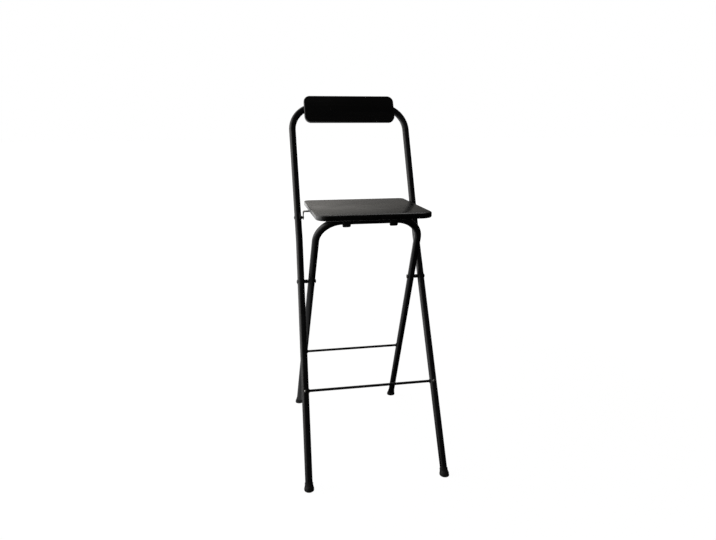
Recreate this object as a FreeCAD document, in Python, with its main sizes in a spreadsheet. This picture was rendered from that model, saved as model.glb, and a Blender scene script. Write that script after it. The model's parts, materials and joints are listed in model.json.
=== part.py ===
import FreeCAD, Part
import math
import os
import Sketcher

# Folding bar stool of bent steel tube, in millimetres. +Z is up, the front faces -Y, and the
# origin lies on the floor under the middle of the footprint. Left is the -X side.

# Driving sizes: alias, value, what it is. Angles are in degrees.
SIZES = [
    ("tube_od", 19.0, "outside diameter of both bent tubes"),
    ("tube_wall", 1.2, "wall of both bent tubes"),
    ("seat_height", 697.0, "top of the seat above the floor"),
    ("foot_depth", 505.0, "front feet to rear feet on the floor"),
    ("back_lean", 24.1, "lean of the long frame from upright"),
    ("pivot_height", 491.4, "scissor pivots above the floor"),
    ("back_foot_half", 180.2, "centre line to a front foot"),
    ("upright_half", 165.5, "centre line to an upright of the long frame"),
    ("knee_drop", 63.955, "long frame's bend below the seat pins, along the frame"),
    ("knee_radius", 300.0, "radius of that bend"),
    ("back_bar_along", 1045.7, "top bar, along the long frame"),
    ("back_bend", 72.0, "radius of the long frame's top corners"),
    ("leg_foot_inset", 22.6, "rear foot nearer the centre line than a front foot"),
    ("leg_top_inset", 32.5, "short frame's upper corner inside the line of the uprights"),
    ("leg_bend", 66.0, "radius of the short frame's upper corners"),
    ("foot_bar_diameter", 7.0, "diameter of both foot bars"),
    ("front_bar_height", 225.3, "front foot bar above the floor"),
    ("rear_bar_height", 229.9, "rear foot bar above the floor"),
    ("bar_overrun", 2.8, "foot bar's end past the middle of the leg"),
    ("weld_leg", 1.9, "size of the weld bead round a foot bar's end"),
    ("bar_rivet_radius", 4.0, "head of the rivet that pins a foot bar"),
    ("bar_rivet_head", 1.8, "height of that head"),
    ("bar_rivet_shank", 1.6, "radius of that rivet's shank"),
    ("ferrule_length", 18.0, "foot ferrule, along the leg"),
    ("ferrule_wall", 1.3, "ferrule's wall at its upper lip"),
    ("ferrule_lip", 3.5, "straight lip at the ferrule's top"),
    ("ferrule_flare", 1.9, "how much wider the ferrule is at its widest"),
    ("ferrule_bulge", 5.0, "ferrule's widest place, along the leg"),
    ("ferrule_sole", 3.2, "rubber under the tube's end"),
    ("pivot_shank", 3.0, "radius of the pivot rivets"),
    ("pivot_head", 6.0, "radius of the pivot rivets' heads"),
    ("pivot_head_height", 2.4, "height of those heads"),
    ("pivot_spacer", 5.0, "outside radius of the pivot spacers"),
    ("running_gap", 0.05, "radial clearance of a turning pin"),
    ("moving_gap", 0.35, "clearance between pieces that move past each other"),
    ("seat_width", 289.0, "seat board, side to side"),
    ("seat_depth", 308.0, "seat board, front to rear"),
    ("seat_setback", 30.2, "seat's front edge behind the front feet's line"),
    ("seat_thickness", 13.5, "seat board"),
    ("seat_front_corner", 34.0, "radius of the seat's front corners"),
    ("seat_rear_corner", 16.0, "radius of the seat's rear corners"),
    ("edging_width", 3.2, "edging round both boards"),
    ("edging_round", 3.0, "rounding of that edging"),
    ("sheet_thickness", 0.8, "laminate on both faces of the boards"),
    ("back_width", 261.0, "backrest board, side to side"),
    ("back_height", 79.0, "backrest board, along the frame"),
    ("back_thickness", 12.0, "backrest board"),
    ("back_corner", 18.0, "radius of the backrest's corners"),
    ("back_drop", 16.8, "middle of the backrest below the top bar, along the frame"),
    ("back_standoff", 1.5, "gap between the backrest and the top bar"),
    ("back_screw_half", 72.0, "centre line to a backrest screw"),
    ("back_screw_bite", 8.5, "backrest screw's reach into the board"),
    ("back_screw_shank", 2.5, "radius of the backrest screws"),
    ("back_screw_head", 5.0, "radius of their heads"),
    ("back_screw_dome", 2.6, "height of their heads"),
    ("saddle_radius", 8.0, "radius of the backrest's saddles"),
    ("saddle_rear_radius", 6.8, "radius of the rear saddles"),
    ("saddle_rear", 1.3, "saddle under a backrest screw's head"),
    ("pin_drop", 28.4, "seat pins below the board's underside"),
    ("pin_shank", 3.0, "radius of the seat pins"),
    ("pin_head", 5.0, "radius of the seat pins' heads"),
    ("pin_head_height", 1.7, "height of those heads"),
    ("pin_spacer_radius", 4.4, "radius of the spacers on the seat pins"),
    ("pin_spacer_length", 3.1, "length of those spacers"),
    ("strap_width", 20.0, "seat bracket's strap"),
    ("strap_thickness", 2.2, "seat bracket's strap"),
    ("strap_bend", 3.6, "bend radius at the middle of the strap"),
    ("strap_forward", 11.6, "strap's middle in front of the seat pin"),
    ("ear_round", 7.0, "radius of the strap's end about the seat pin"),
    ("flange_inner", 89.5, "centre line to the strap's inner end"),
    ("flange_outer", 124.0, "centre line to the strap's step"),
    ("strap_step", 8.7, "how far the strap steps down"),
    ("strap_slope", 45.0, "slope of that step"),
    ("screw_shank", 1.8, "radius of the screws in the seat"),
    ("screw_head", 3.6, "radius of their heads"),
    ("screw_dome", 1.9, "height of their heads"),
    ("screw_bite", 8.0, "their reach into the board"),
    ("bracket_screw_pitch", 12.0, "between a bracket's two screws"),
    ("clip_half", 60.6, "centre line to a clip"),
    ("clip_width", 21.0, "clip, side to side"),
    ("clip_corner", 4.0, "rounding of the clip's lower corners, seen from the front"),
    ("clip_bridge", 3.1, "clip between the bar and the board"),
    ("clip_wall", 3.6, "wall of the clip's jaws"),
    ("clip_shoulder", 2.0, "upright part of the clip's front, down to this far above the bar's middle"),
    ("clip_tilt", 27.3, "mouth of the clip, turned back from straight down"),
    ("clip_front_jaw", 9.4, "front jaw past the bar's middle"),
    ("clip_rear_jaw", 3.0, "rear jaw past the bar's middle"),
    ("clip_flare", 0.5, "how much the rear jaw opens at its tip"),
    ("clip_base", 5.0, "clip's screw flange"),
    ("clip_reach", 30.0, "end of that flange behind the bar"),
    ("clip_screw_back", 21.5, "clip's screws behind the bar"),
    ("clip_screw_pitch", 13.0, "between a clip's two screws"),
]

# Places that follow from the sizes. "along" is measured on a frame's own slope from the floor.
LAYOUT = [
    ("tube_r", "dims.tube_od / 2", "tube radius"),
    ("bar_r", "dims.foot_bar_diameter / 2", "foot bar radius"),
    ("leg_foot_half", "dims.back_foot_half - dims.leg_foot_inset", "centre line to a rear foot"),
    ("leg_top_half", "dims.upright_half - dims.leg_top_inset",
     "centre line to the short frame's upper corners"),
    ("pivot_back", "dims.pivot_height * tan(dims.back_lean)", "pivots behind the front feet"),
    ("leg_lean", "atan((dims.foot_depth - pivot_back) / dims.pivot_height)", "lean of the leg frame"),
    ("ferrule_top", "tube_r + dims.ferrule_wall", "ferrule's outside radius at its lip"),
    ("ferrule_foot", "ferrule_top + dims.ferrule_flare", "ferrule's outside radius at its widest"),
    ("front_reach", "ferrule_foot / cos(dims.back_lean)", "front ferrule before its foot's line"),
    ("rear_reach", "ferrule_foot / cos(leg_lean)", "rear ferrule behind its foot's line"),
    ("front_y", "(front_reach - rear_reach - dims.foot_depth) / 2",
     "front feet's line, with the footprint centred"),
    ("rear_y", "front_y + dims.foot_depth", "rear feet's line"),
    ("pivot_y", "front_y + pivot_back", "pivots"),
    ("board_under", "dims.seat_height - dims.seat_thickness", "underside of the seat board"),
    ("bar_bore", "tube_r + dims.moving_gap", "clip's bore round the leg frame's top bar"),
    ("bar_drop", "bar_bore + dims.clip_bridge", "top bar's middle below the board"),
    ("leg_bar_z", "board_under - bar_drop", "leg frame's top bar"),
    ("leg_bar_y", "rear_y - leg_bar_z * tan(leg_lean)", "leg frame's top bar"),
    ("leg_bar_along", "leg_bar_z / cos(leg_lean)", "leg frame's top bar"),
    ("pin_z", "board_under - dims.pin_drop", "seat pins"),
    ("pin_y", "front_y + pin_z * tan(dims.back_lean)", "seat pins"),
    ("knee_along", "pin_z / cos(dims.back_lean) - dims.knee_drop", "bend below the seat, along the frame"),
    ("back_splay", "atan((dims.back_foot_half - dims.upright_half) / knee_along)",
     "splay of the long frame's legs"),
    ("leg_splay", "atan((leg_foot_half - leg_top_half) / leg_bar_along)",
     "splay of the leg frame's legs"),
    ("knee_cut", "dims.knee_radius * tan(back_splay / 2)", "knee's corner to its arc's end"),
    ("leg_cut", "dims.leg_bend * tan((90 deg - leg_splay) / 2)", "leg frame's corner to its arc's end"),
    ("back_start", "(dims.ferrule_sole + tube_r * sin(dims.back_lean)) / cos(dims.back_lean)",
     "long frame's open ends, along it"),
    ("leg_start", "(dims.ferrule_sole + tube_r * sin(leg_lean)) / cos(leg_lean)",
     "leg frame's open ends, along it"),
    ("back_pivot_half", "dims.back_foot_half - dims.pivot_height / cos(dims.back_lean) * tan(back_splay)",
     "long frame's leg at the pivots"),
    ("leg_pivot_half", "leg_foot_half - dims.pivot_height / cos(leg_lean) * tan(leg_splay)",
     "leg frame's leg at the pivots"),
    ("pivot_outer", "leg_pivot_half + tube_r + dims.moving_gap + dims.pivot_spacer * tan(leg_splay)",
     "pivot spacer's inner face"),
    ("pivot_inner", "leg_pivot_half - tube_r - dims.moving_gap - dims.pivot_head * tan(leg_splay)",
     "pivot rivet's inner head"),
    ("front_bar_along", "dims.front_bar_height / cos(dims.back_lean)", "front foot bar"),
    ("rear_bar_along", "dims.rear_bar_height / cos(leg_lean)", "rear foot bar"),
    ("front_bar_y", "front_y + dims.front_bar_height * tan(dims.back_lean)", "front foot bar"),
    ("rear_bar_y", "rear_y - dims.rear_bar_height * tan(leg_lean)", "rear foot bar"),
    ("front_bar_half", "dims.back_foot_half - front_bar_along * tan(back_splay)", "leg at the front bar"),
    ("rear_bar_half", "leg_foot_half - rear_bar_along * tan(leg_splay)", "leg at the rear bar"),
    ("ear_outer", "dims.upright_half - tube_r - dims.pin_spacer_length - dims.moving_gap",
     "bracket's ear, outer face"),
    ("ear_middle", "ear_outer - dims.strap_thickness / 2", "bracket's ear, middle of the strap"),
    ("ear_top", "dims.pin_drop - dims.strap_thickness / 2 - dims.strap_step - dims.strap_bend",
     "bracket's ear above the pin, where the strap's bend ends"),
    ("strap_y", "pin_y - dims.strap_forward", "bracket's strap"),
    ("ear_inner", "ear_outer - dims.strap_thickness", "bracket's ear, inner face"),
    ("flange_middle", "(dims.flange_inner + dims.flange_outer - dims.strap_bend / 2) / 2",
     "bracket's screws"),
    ("back_rear_face", "tube_r + dims.back_standoff", "backrest's rear face before the tube's middle"),
    ("back_foot_along", "dims.back_bar_along - dims.back_drop - dims.back_height / 2",
     "backrest's lower edge"),
    ("back_leg_run", "knee_along - knee_cut - back_start", "straight part of a front leg"),
    ("leg_leg_run", "leg_bar_along - leg_cut - leg_start", "straight part of a rear leg"),
    ("trim_reach", "3 * ferrule_foot", "half the block that cuts a ferrule off at the floor"),
    ("pin_lap", "tube_r / 10", "cross pin's shank inside its own head"),
]

LEFT = -1
RIGHT = 1
# Share of a domed head's height that is its upright rim.
RIM_SHARE = 0.3
# Heights of the two kinds of cross pin.
PIN_HEIGHT = {"pivot": "dims.pivot_height", "pin": "layout.pin_z"}
X_AXIS = "create(<<vector>>; 1; 0; 0)"
Y_AXIS = "create(<<vector>>; 0; 1; 0)"
LEVEL = f"create(<<rotation>>; {X_AXIS}; 0)"
BACK_TURN = f"create(<<rotation>>; {X_AXIS}; 0 - dims.back_lean)"
LEG_TURN = f"create(<<rotation>>; {X_AXIS}; layout.leg_lean)"
FORWARD_TURN = f"create(<<rotation>>; {X_AXIS}; 90 - dims.back_lean)"
ACROSS = f"create(<<rotation>>; {Y_AXIS}; 90)"
BACK_LEG_TURN = f"{BACK_TURN} * create(<<rotation>>; {Y_AXIS}; layout.back_splay)"
LEG_LEG_TURN = f"{LEG_TURN} * create(<<rotation>>; {Y_AXIS}; layout.leg_splay)"

doc = FreeCAD.newDocument("folding_bar_stool")
nodes = []


def make_sheet(name, rows, mark):
    """Makes a spreadsheet with one named cell per row."""
    sheet = doc.addObject("Spreadsheet::Sheet", name)
    for number, (alias, content, meaning) in enumerate(rows, start=1):
        sheet.set(f"A{number}", meaning)
        sheet.set(f"B{number}", f"{mark}{content}")
        sheet.setAlias(f"B{number}", alias)
    doc.recompute()
    return sheet


dims = make_sheet("dims", SIZES, "")
layout = make_sheet("layout", LAYOUT, "=")


def value(expression):
    """The number that an expression on the sheets gives."""
    result = layout.evalExpression(expression)
    return float(getattr(result, "Value", result))


def keep(label, piece):
    """Names a finished piece and puts it on the list of pieces to write."""
    piece.Label = label
    nodes.append(piece)
    return piece


def place(piece, x="0", y="0", z="0", turn=LEVEL):
    """Binds a piece's place and turn to expressions."""
    spot = f"create(<<vector>>; {x}; {y}; {z})"
    piece.setExpression("Placement", f"create(<<placement>>; {spot}; {turn})")
    return piece


def on_back(along, forward="0"):
    """Y and Z of a point on the long frame's plane, or in front of it."""
    y = f"layout.front_y + ({along}) * sin(dims.back_lean) - ({forward}) * cos(dims.back_lean)"
    z = f"({along}) * cos(dims.back_lean) + ({forward}) * sin(dims.back_lean)"
    return y, z


def cylinder(name, radius, length, x="0", y="0", z="0", turn=LEVEL):
    """A round bar along its own Z."""
    bar = doc.addObject("Part::Cylinder", name)
    bar.setExpression("Radius", radius)
    bar.setExpression("Height", length)
    return place(bar, x, y, z, turn)


def cone(name, first_radius, last_radius, length, x, y, z, turn):
    """A tapered ring's solid along its own Z."""
    taper = doc.addObject("Part::Cone", name)
    taper.setExpression("Radius1", first_radius)
    taper.setExpression("Radius2", last_radius)
    taper.setExpression("Height", length)
    return place(taper, x, y, z, turn)


def cut(name, base, tool):
    """The base without the tool."""
    result = doc.addObject("Part::Cut", name)
    result.Base = base
    result.Tool = tool
    return result


def fuse(name, pieces):
    """One solid of several that meet."""
    result = doc.addObject("Part::MultiFuse", name)
    result.Shapes = pieces
    return result


def group(name, pieces):
    """Separate solids that share one node."""
    result = doc.addObject("Part::Compound", name)
    result.Links = pieces
    return result


def mirrored(name, piece):
    """The same piece on the other side of the stool."""
    result = doc.addObject("Part::Mirroring", name)
    result.Source = piece
    result.Normal = FreeCAD.Vector(1, 0, 0)
    return result


def new_body(name):
    return doc.addObject("PartDesign::Body", name)


def new_sketch(body, role, name, offset=None):
    """A sketch on one of the body's own origin planes, shifted along its normal by an expression."""
    sketch = body.newObject("Sketcher::SketchObject", name)
    plane = next(item for item in body.Origin.OriginFeatures if item.Role == role)
    sketch.AttachmentSupport = [(plane, "")]
    sketch.MapMode = "FlatFace"
    if offset is not None:
        sketch.setExpression("AttachmentOffset.Base.z", offset)
    return sketch


def fix_point(sketch, geometry, end, x, y):
    """Ties one end of a line or arc to a pair of expressions."""
    for direction, expression, axis in (("DistanceX", x, -2), ("DistanceY", y, -1)):
        amount = value(expression)
        if abs(amount) < 1e-9:
            sketch.addConstraint(Sketcher.Constraint("PointOnObject", geometry, end, axis))
            continue
        number = sketch.addConstraint(Sketcher.Constraint(direction, geometry, end, amount))
        sketch.setExpression(f"Constraints[{number}]", expression)


def add_arc(sketch, start, stop, radius, side):
    """Adds the short arc from start to stop with its middle to the left (1) or the right (-1)."""
    chord = stop - start
    across = FreeCAD.Vector(-chord.y, chord.x, 0).normalize()
    rise = math.sqrt(max(radius ** 2 - (chord.Length / 2) ** 2, 0))
    middle = (start + stop) / 2 + across * rise * side
    first, last = (start, stop) if side > 0 else (stop, start)
    angles = [math.atan2(point.y - middle.y, point.x - middle.x) for point in (first, last)]
    if angles[1] < angles[0]:
        angles[1] += 2 * math.pi
    circle = Part.Circle(middle, FreeCAD.Vector(0, 0, 1), radius)
    return sketch.addGeometry(Part.ArcOfCircle(circle, *angles), False)


def draw(sketch, points, arcs=None, closed=True):
    """Draws an outline through points, each a pair of expressions.

    arcs gives the radius and side of each edge that bends, by the number of the point it leaves.
    """
    arcs = arcs or {}
    spots = [FreeCAD.Vector(value(x), value(y), 0) for x, y in points]
    edges = len(points) if closed else len(points) - 1
    ends = []
    for number in range(edges):
        start = spots[number]
        stop = spots[(number + 1) % len(points)]
        if number in arcs:
            radius, side = arcs[number]
            index = add_arc(sketch, start, stop, value(radius), side)
            limit = sketch.addConstraint(Sketcher.Constraint("Radius", index, value(radius)))
            sketch.setExpression(f"Constraints[{limit}]", radius)
            ends.append((index, 1, 2) if side > 0 else (index, 2, 1))
        else:
            index = sketch.addGeometry(Part.LineSegment(start, stop), False)
            ends.append((index, 1, 2))
    for number, (index, first, last) in enumerate(ends):
        fix_point(sketch, index, first, *points[number])
        if number + 1 < edges or closed:
            following, its_first, _ = ends[(number + 1) % edges]
            sketch.addConstraint(Sketcher.Constraint("Coincident", index, last, following, its_first))
        else:
            fix_point(sketch, index, last, *points[-1])
    return sketch


def draw_ring(sketch, x, y, radii):
    """Draws circles round one point."""
    for radius in radii:
        middle = FreeCAD.Vector(value(x), value(y), 0)
        circle = Part.Circle(middle, FreeCAD.Vector(0, 0, 1), value(radius))
        index = sketch.addGeometry(circle, False)
        limit = sketch.addConstraint(Sketcher.Constraint("Radius", index, value(radius)))
        sketch.setExpression(f"Constraints[{limit}]", radius)
        fix_point(sketch, index, 3, x, y)
    return sketch


def pad(body, sketch, length, midplane=False):
    """Raises a sketch to a solid."""
    feature = body.newObject("PartDesign::Pad", f"{body.Name}_pad")
    feature.Profile = sketch
    feature.setExpression("Length", length)
    feature.Midplane = midplane
    return feature


def turned(name, points, arcs=None):
    """A body turned round its own Z, from an outline in radius and height."""
    body = new_body(name)
    sketch = new_sketch(body, "XZ_Plane", f"{name}_outline")
    draw(sketch, points, arcs)
    feature = body.newObject("PartDesign::Revolution", f"{name}_turn")
    feature.Profile = sketch
    feature.ReferenceAxis = (sketch, ["V_Axis"])
    feature.Angle = 360
    return body


def swept(name, route, arcs, draw_section, section_offset=None):
    """A body that carries a section from the YZ plane along a route in the XZ plane."""
    body = new_body(name)
    section = new_sketch(body, "YZ_Plane", f"{name}_section", section_offset)
    draw_section(section)
    path = new_sketch(body, "XZ_Plane", f"{name}_route")
    draw(path, route, arcs, closed=False)
    feature = body.newObject("PartDesign::AdditivePipe", f"{name}_pipe")
    feature.Profile = section
    feature.Spine = path
    return body


def bent_tube(name, bar_along, route, arcs):
    """A tube frame: half of it is swept from the middle of its top bar to a foot, then mirrored."""
    wall = ["layout.tube_r", "layout.tube_r - dims.tube_wall"]
    body = swept(name, route, arcs, lambda section: draw_ring(section, "0", bar_along, wall))
    half = body.Tip
    mirror = body.newObject("PartDesign::Mirrored", f"{name}_mirror")
    mirror.Originals = [half]
    side = next(item for item in body.Origin.OriginFeatures if item.Role == "YZ_Plane")
    mirror.MirrorPlane = (side, [""])
    body.Tip = mirror
    return body


def domed_pin(name, head_radius, head_height, shank_radius, length):
    """A domed head below the XY plane and a shank above it."""
    rim = f"0 - {head_height} * {RIM_SHARE}"
    rise = f"({head_height} * (1 - {RIM_SHARE}))"
    dome = f"({head_radius} ^ 2 + {rise} ^ 2) / (2 * {rise})"
    points = [
        ("0", f"0 - {head_height}"),
        (head_radius, rim),
        (head_radius, "0"),
        (shank_radius, "0"),
        (shank_radius, length),
        ("0", length),
    ]
    return turned(name, points, {0: (dome, 1)})


# Solid bars that fill the tubes where something is shaped to sit on them.
def leg_filler(name, side_half, foot_y, turn, start, length):
    """The left leg's outside as a solid bar, from its open end upwards."""
    bar = cylinder(f"{name}_bar", "layout.tube_r", length)
    x = f"0 - {side_half}"
    spot = f"create(<<vector>>; {x}; {foot_y}; 0)"
    along = f"create(<<placement>>; create(<<vector>>; 0; 0; {start}); {LEVEL})"
    bar.setExpression("Placement", f"create(<<placement>>; {spot}; {turn}) * {along}")
    return bar


back_leg_filler = leg_filler(
    "back_leg", "dims.back_foot_half", "layout.front_y", BACK_LEG_TURN,
    "layout.back_start / cos(layout.back_splay)", "layout.back_leg_run")
leg_leg_filler = leg_filler(
    "leg_leg", "layout.leg_foot_half", "layout.rear_y", LEG_LEG_TURN,
    "layout.leg_start / cos(layout.leg_splay)", "layout.leg_leg_run")
upright_filler = cylinder(
    "upright_bar", "layout.tube_r", "dims.back_bar_along - dims.back_bend - layout.knee_along",
    "0 - dims.upright_half", *on_back("layout.knee_along"), BACK_TURN)
top_bar_filler = cylinder(
    "top_bar", "layout.tube_r", "2 * (dims.upright_half - dims.back_bend)",
    "dims.back_bend - dims.upright_half", *on_back("dims.back_bar_along"), ACROSS)


# Back frame: the long tube, its foot bar and what the seat and the leg frame turn on.
def make_backrest_screws():
    """Two machine screws from behind, through the top bar into the backrest."""
    y, z = on_back("dims.back_bar_along", "0 - layout.tube_r - dims.saddle_rear")
    length = "2 * layout.tube_r + dims.saddle_rear + dims.back_standoff + dims.back_screw_bite"
    screws = []
    for side in (LEFT, RIGHT):
        screw = domed_pin(f"backrest_screw{side + 1}", "dims.back_screw_head", "dims.back_screw_dome",
                          "dims.back_screw_shank", length)
        screws.append(place(screw, f"{side} * dims.back_screw_half", y, z, FORWARD_TURN))
    return keep("backrest_screws", group("backrest_screws", screws))


def make_foot_bar_rivets():
    """A small domed rivet through the front of each leg into the foot bar's end."""
    y, z = on_back("layout.front_bar_along")
    x = "0 - layout.front_bar_half"
    dome = "(dims.bar_rivet_radius ^ 2 + dims.bar_rivet_head ^ 2) / (2 * dims.bar_rivet_head)"
    skirt = "layout.tube_r - dims.tube_wall"
    points = [
        ("0", skirt),
        ("dims.bar_rivet_radius", skirt),
        ("dims.bar_rivet_radius", "layout.tube_r"),
        ("0", "layout.tube_r + dims.bar_rivet_head"),
    ]
    head = turned("bar_rivet_head", points, {2: (dome, 1)})
    place(head, x, y, z, FORWARD_TURN)
    seated = cut("bar_rivet_seated", head, back_leg_filler)
    shank = cylinder("bar_rivet_shank", "dims.bar_rivet_shank", "layout.tube_r + dims.bar_rivet_head / 2",
                     x, y, z, FORWARD_TURN)
    rivet = fuse("bar_rivet", [seated, shank])
    return keep("foot_bar_rivets", group("foot_bar_rivets", [rivet, mirrored("bar_rivet_right", rivet)]))


def make_foot_bar(name, half, y, z, filler):
    """A round bar between two legs, its ends in drilled holes, with a weld bead at each."""
    label = f"{name}_welded"
    reach = f"{half} + dims.bar_overrun"
    rod = cylinder(f"{label}_rod", "layout.bar_r", f"2 * ({reach})", f"0 - ({reach})", y, z, ACROSS)
    bead = cone(f"{label}_bead", "layout.bar_r + 2 * dims.weld_leg", "layout.bar_r",
                "2 * dims.weld_leg", f"layout.tube_r - dims.weld_leg - {half}", y, z, ACROSS)
    seated = cut(f"{label}_seated", bead, filler)
    other = mirrored(f"{label}_bead_right", seated)
    return fuse(label, [rod, seated, other])


def make_back_tube(screws):
    """The long inverted U, with its knees below the seat and its drilled holes."""
    straight = "dims.upright_half"
    turn = "layout.back_splay"
    route = [
        ("0", "dims.back_bar_along"),
        (f"dims.back_bend - {straight}", "dims.back_bar_along"),
        (f"0 - {straight}", "dims.back_bar_along - dims.back_bend"),
        (f"0 - {straight}", "layout.knee_along + layout.knee_cut"),
        (f"0 - {straight} - layout.knee_cut * sin({turn})",
         f"layout.knee_along - layout.knee_cut * cos({turn})"),
        (f"layout.back_start * tan({turn}) - dims.back_foot_half", "layout.back_start"),
    ]
    tube = bent_tube("back_tube", "dims.back_bar_along", route,
                     {1: ("dims.back_bend", 1), 3: ("dims.knee_radius", -1)})
    place(tube, "0", "layout.front_y", "0", BACK_TURN)
    width = "2 * dims.back_foot_half + 2 * dims.tube_od"
    left = f"0 - ({width}) / 2"
    holes = [
        cylinder("pivot_hole", "dims.pivot_shank", width, left, "layout.pivot_y",
                 "dims.pivot_height", ACROSS),
        cylinder("pin_hole", "dims.pin_shank", width, left, "layout.pin_y", "layout.pin_z", ACROSS),
        cylinder("front_bar_hole", "layout.bar_r", "2 * layout.front_bar_half",
                 "0 - layout.front_bar_half", "layout.front_bar_y", "dims.front_bar_height", ACROSS),
    ]
    for side in (LEFT, RIGHT):
        holes.append(cylinder(f"rivet_hole{side + 1}", "dims.bar_rivet_shank", "dims.tube_od",
                              f"{side} * layout.front_bar_half",
                              *on_back("layout.front_bar_along"), FORWARD_TURN))
    drilled = cut("back_tube_drilled", tube, group("back_tube_holes", holes))
    return keep("back_frame_tube", cut("back_frame_tube", drilled, screws))


def make_ferrule(label, side_half, foot_y, turn, filler):
    """A flared rubber foot round the tube's end, cut flat where it stands."""
    length = "dims.ferrule_length"
    neck = f"{length} - dims.ferrule_lip"
    rise = f"({neck} - dims.ferrule_bulge)"
    curve = f"({rise} ^ 2 + dims.ferrule_flare ^ 2) / (2 * dims.ferrule_flare)"
    points = [
        ("0", "0 - layout.ferrule_foot"),
        ("layout.ferrule_foot", "0 - layout.ferrule_foot"),
        ("layout.ferrule_foot", "dims.ferrule_bulge"),
        ("layout.ferrule_top", neck),
        ("layout.ferrule_top", length),
        ("0", length),
    ]
    blank = turned(f"{label}_blank", points, {2: (curve, -1)})
    place(blank, f"0 - {side_half}", foot_y, "0", turn)
    floor = doc.addObject("Part::Box", f"{label}_floor")
    reach = "layout.trim_reach"
    floor.setExpression("Length", f"2 * {reach}")
    floor.setExpression("Width", f"2 * {reach}")
    floor.setExpression("Height", reach)
    place(floor, f"0 - {side_half} - {reach}", f"{foot_y} - {reach}", f"0 - {reach}")
    standing = cut(f"{label}_standing", blank, floor)
    left = keep(f"{label}_left", cut(f"{label}_left", standing, filler))
    keep(f"{label}_right", mirrored(f"{label}_right", left))


def make_cross_pin(label, outer, inner, head, height, shank, filler):
    """A rivet along X through a leg, with a head shaped to the tube outside and a flat one inside."""
    domed = f"({head} ^ 2 + {height} ^ 2) / (2 * {height})"
    sunk = "layout.tube_r / 2"
    outside = [
        ("0", f"0 - {height}"),
        (head, "0"),
        (head, sunk),
        ("0", sunk),
    ]
    cap = turned(f"{label}_cap", outside, {0: (domed, 1)})
    place(cap, f"0 - ({outer})", f"layout.{label}_y", PIN_HEIGHT[label], ACROSS)
    seated = cut(f"{label}_cap_seated", cap, filler)
    span = f"({outer}) - ({inner})"
    inside = [
        ("0", "0 - layout.pin_lap"),
        (shank, "0 - layout.pin_lap"),
        (shank, span),
        (head, span),
        (head, f"{span} + {height} * {RIM_SHARE}"),
        ("0", f"{span} + {height}"),
    ]
    rise = f"({height} * (1 - {RIM_SHARE}))"
    crown = f"({head} ^ 2 + {rise} ^ 2) / (2 * {rise})"
    stem = turned(f"{label}_stem", inside, {4: (crown, 1)})
    place(stem, f"0 - ({outer})", f"layout.{label}_y", PIN_HEIGHT[label], ACROSS)
    return fuse(f"{label}_rivet", [seated, stem])


def make_spacer(label, name, radius, bore, outer, inner, filler):
    """A nylon ring on a cross pin, hollowed to sit on the tube."""
    length = f"({outer}) - ({inner})"
    x = f"0 - ({outer})"
    height = PIN_HEIGHT[name]
    ring = cylinder(f"{label}_ring", radius, length, x, f"layout.{name}_y", height, ACROSS)
    hole = cylinder(f"{label}_bore", bore, length, x, f"layout.{name}_y", height, ACROSS)
    bored = cut(f"{label}_bored", ring, hole)
    left = keep(f"{label}_left", cut(f"{label}_left", bored, filler))
    keep(f"{label}_right", mirrored(f"{label}_right", left))


def make_pivots():
    """The scissor rivets through both frames, and the spacers between the tubes."""
    rivet = make_cross_pin("pivot", "layout.back_pivot_half + layout.tube_r", "layout.pivot_inner",
                           "dims.pivot_head", "dims.pivot_head_height", "dims.pivot_shank",
                           back_leg_filler)
    keep("pivot_rivet_left", rivet)
    keep("pivot_rivet_right", mirrored("pivot_rivet_right", rivet))
    make_spacer("pivot_spacer", "pivot", "dims.pivot_spacer", "dims.pivot_shank",
                "layout.back_pivot_half - layout.tube_r / 2", "layout.pivot_outer", back_leg_filler)


def make_seat_pins():
    """The pins on the uprights that the seat's brackets turn on, and their spacers."""
    rivet = make_cross_pin("pin", "dims.upright_half + layout.tube_r",
                           "layout.ear_inner - dims.moving_gap",
                           "dims.pin_head", "dims.pin_head_height", "dims.pin_shank", upright_filler)
    keep("seat_pin_left", rivet)
    keep("seat_pin_right", mirrored("seat_pin_right", rivet))
    make_spacer("seat_pin_spacer", "pin", "dims.pin_spacer_radius", "dims.pin_shank",
                "dims.upright_half - layout.tube_r / 2", "layout.ear_outer + dims.moving_gap",
                upright_filler)


def make_saddles(screws):
    """Curved pads before and behind the top bar, under the backrest and under the screw heads."""
    pads = []
    for side in (LEFT, RIGHT):
        x = f"{side} * dims.back_screw_half"
        y, z = on_back("dims.back_bar_along")
        front = cylinder(f"saddle_front{side + 1}", "dims.saddle_radius", "layout.back_rear_face",
                         x, y, z, FORWARD_TURN)
        y, z = on_back("dims.back_bar_along", "0 - layout.tube_r - dims.saddle_rear")
        rear = cylinder(f"saddle_rear{side + 1}", "dims.saddle_rear_radius",
                        "layout.tube_r + dims.saddle_rear", x, y, z, FORWARD_TURN)
        pads += [front, rear]
    shaped = cut("saddles_shaped", group("saddle_blanks", pads), top_bar_filler)
    return keep("backrest_saddles", cut("backrest_saddles", shaped, screws))


# Boards: a core between two sheets of laminate, with a rounded edging all round.
def board_outline(half, depth, front, rear, inset):
    """The outline of a board with rounded corners, moved inwards by the inset."""
    side = f"{half} - {inset}"
    far = f"{depth} - {inset}"
    points = [
        (f"{front} - ({half})", inset),
        (f"{half} - {front}", inset),
        (side, front),
        (side, f"{depth} - {rear}"),
        (f"{half} - {rear}", far),
        (f"{rear} - ({half})", far),
        (f"0 - ({side})", f"{depth} - {rear}"),
        (f"0 - ({side})", front),
    ]
    arcs = {
        1: (f"{front} - {inset}", 1),
        3: (f"{rear} - {inset}", 1),
        5: (f"{rear} - {inset}", 1),
        7: (f"{front} - {inset}", 1),
    }
    return points, arcs


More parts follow.
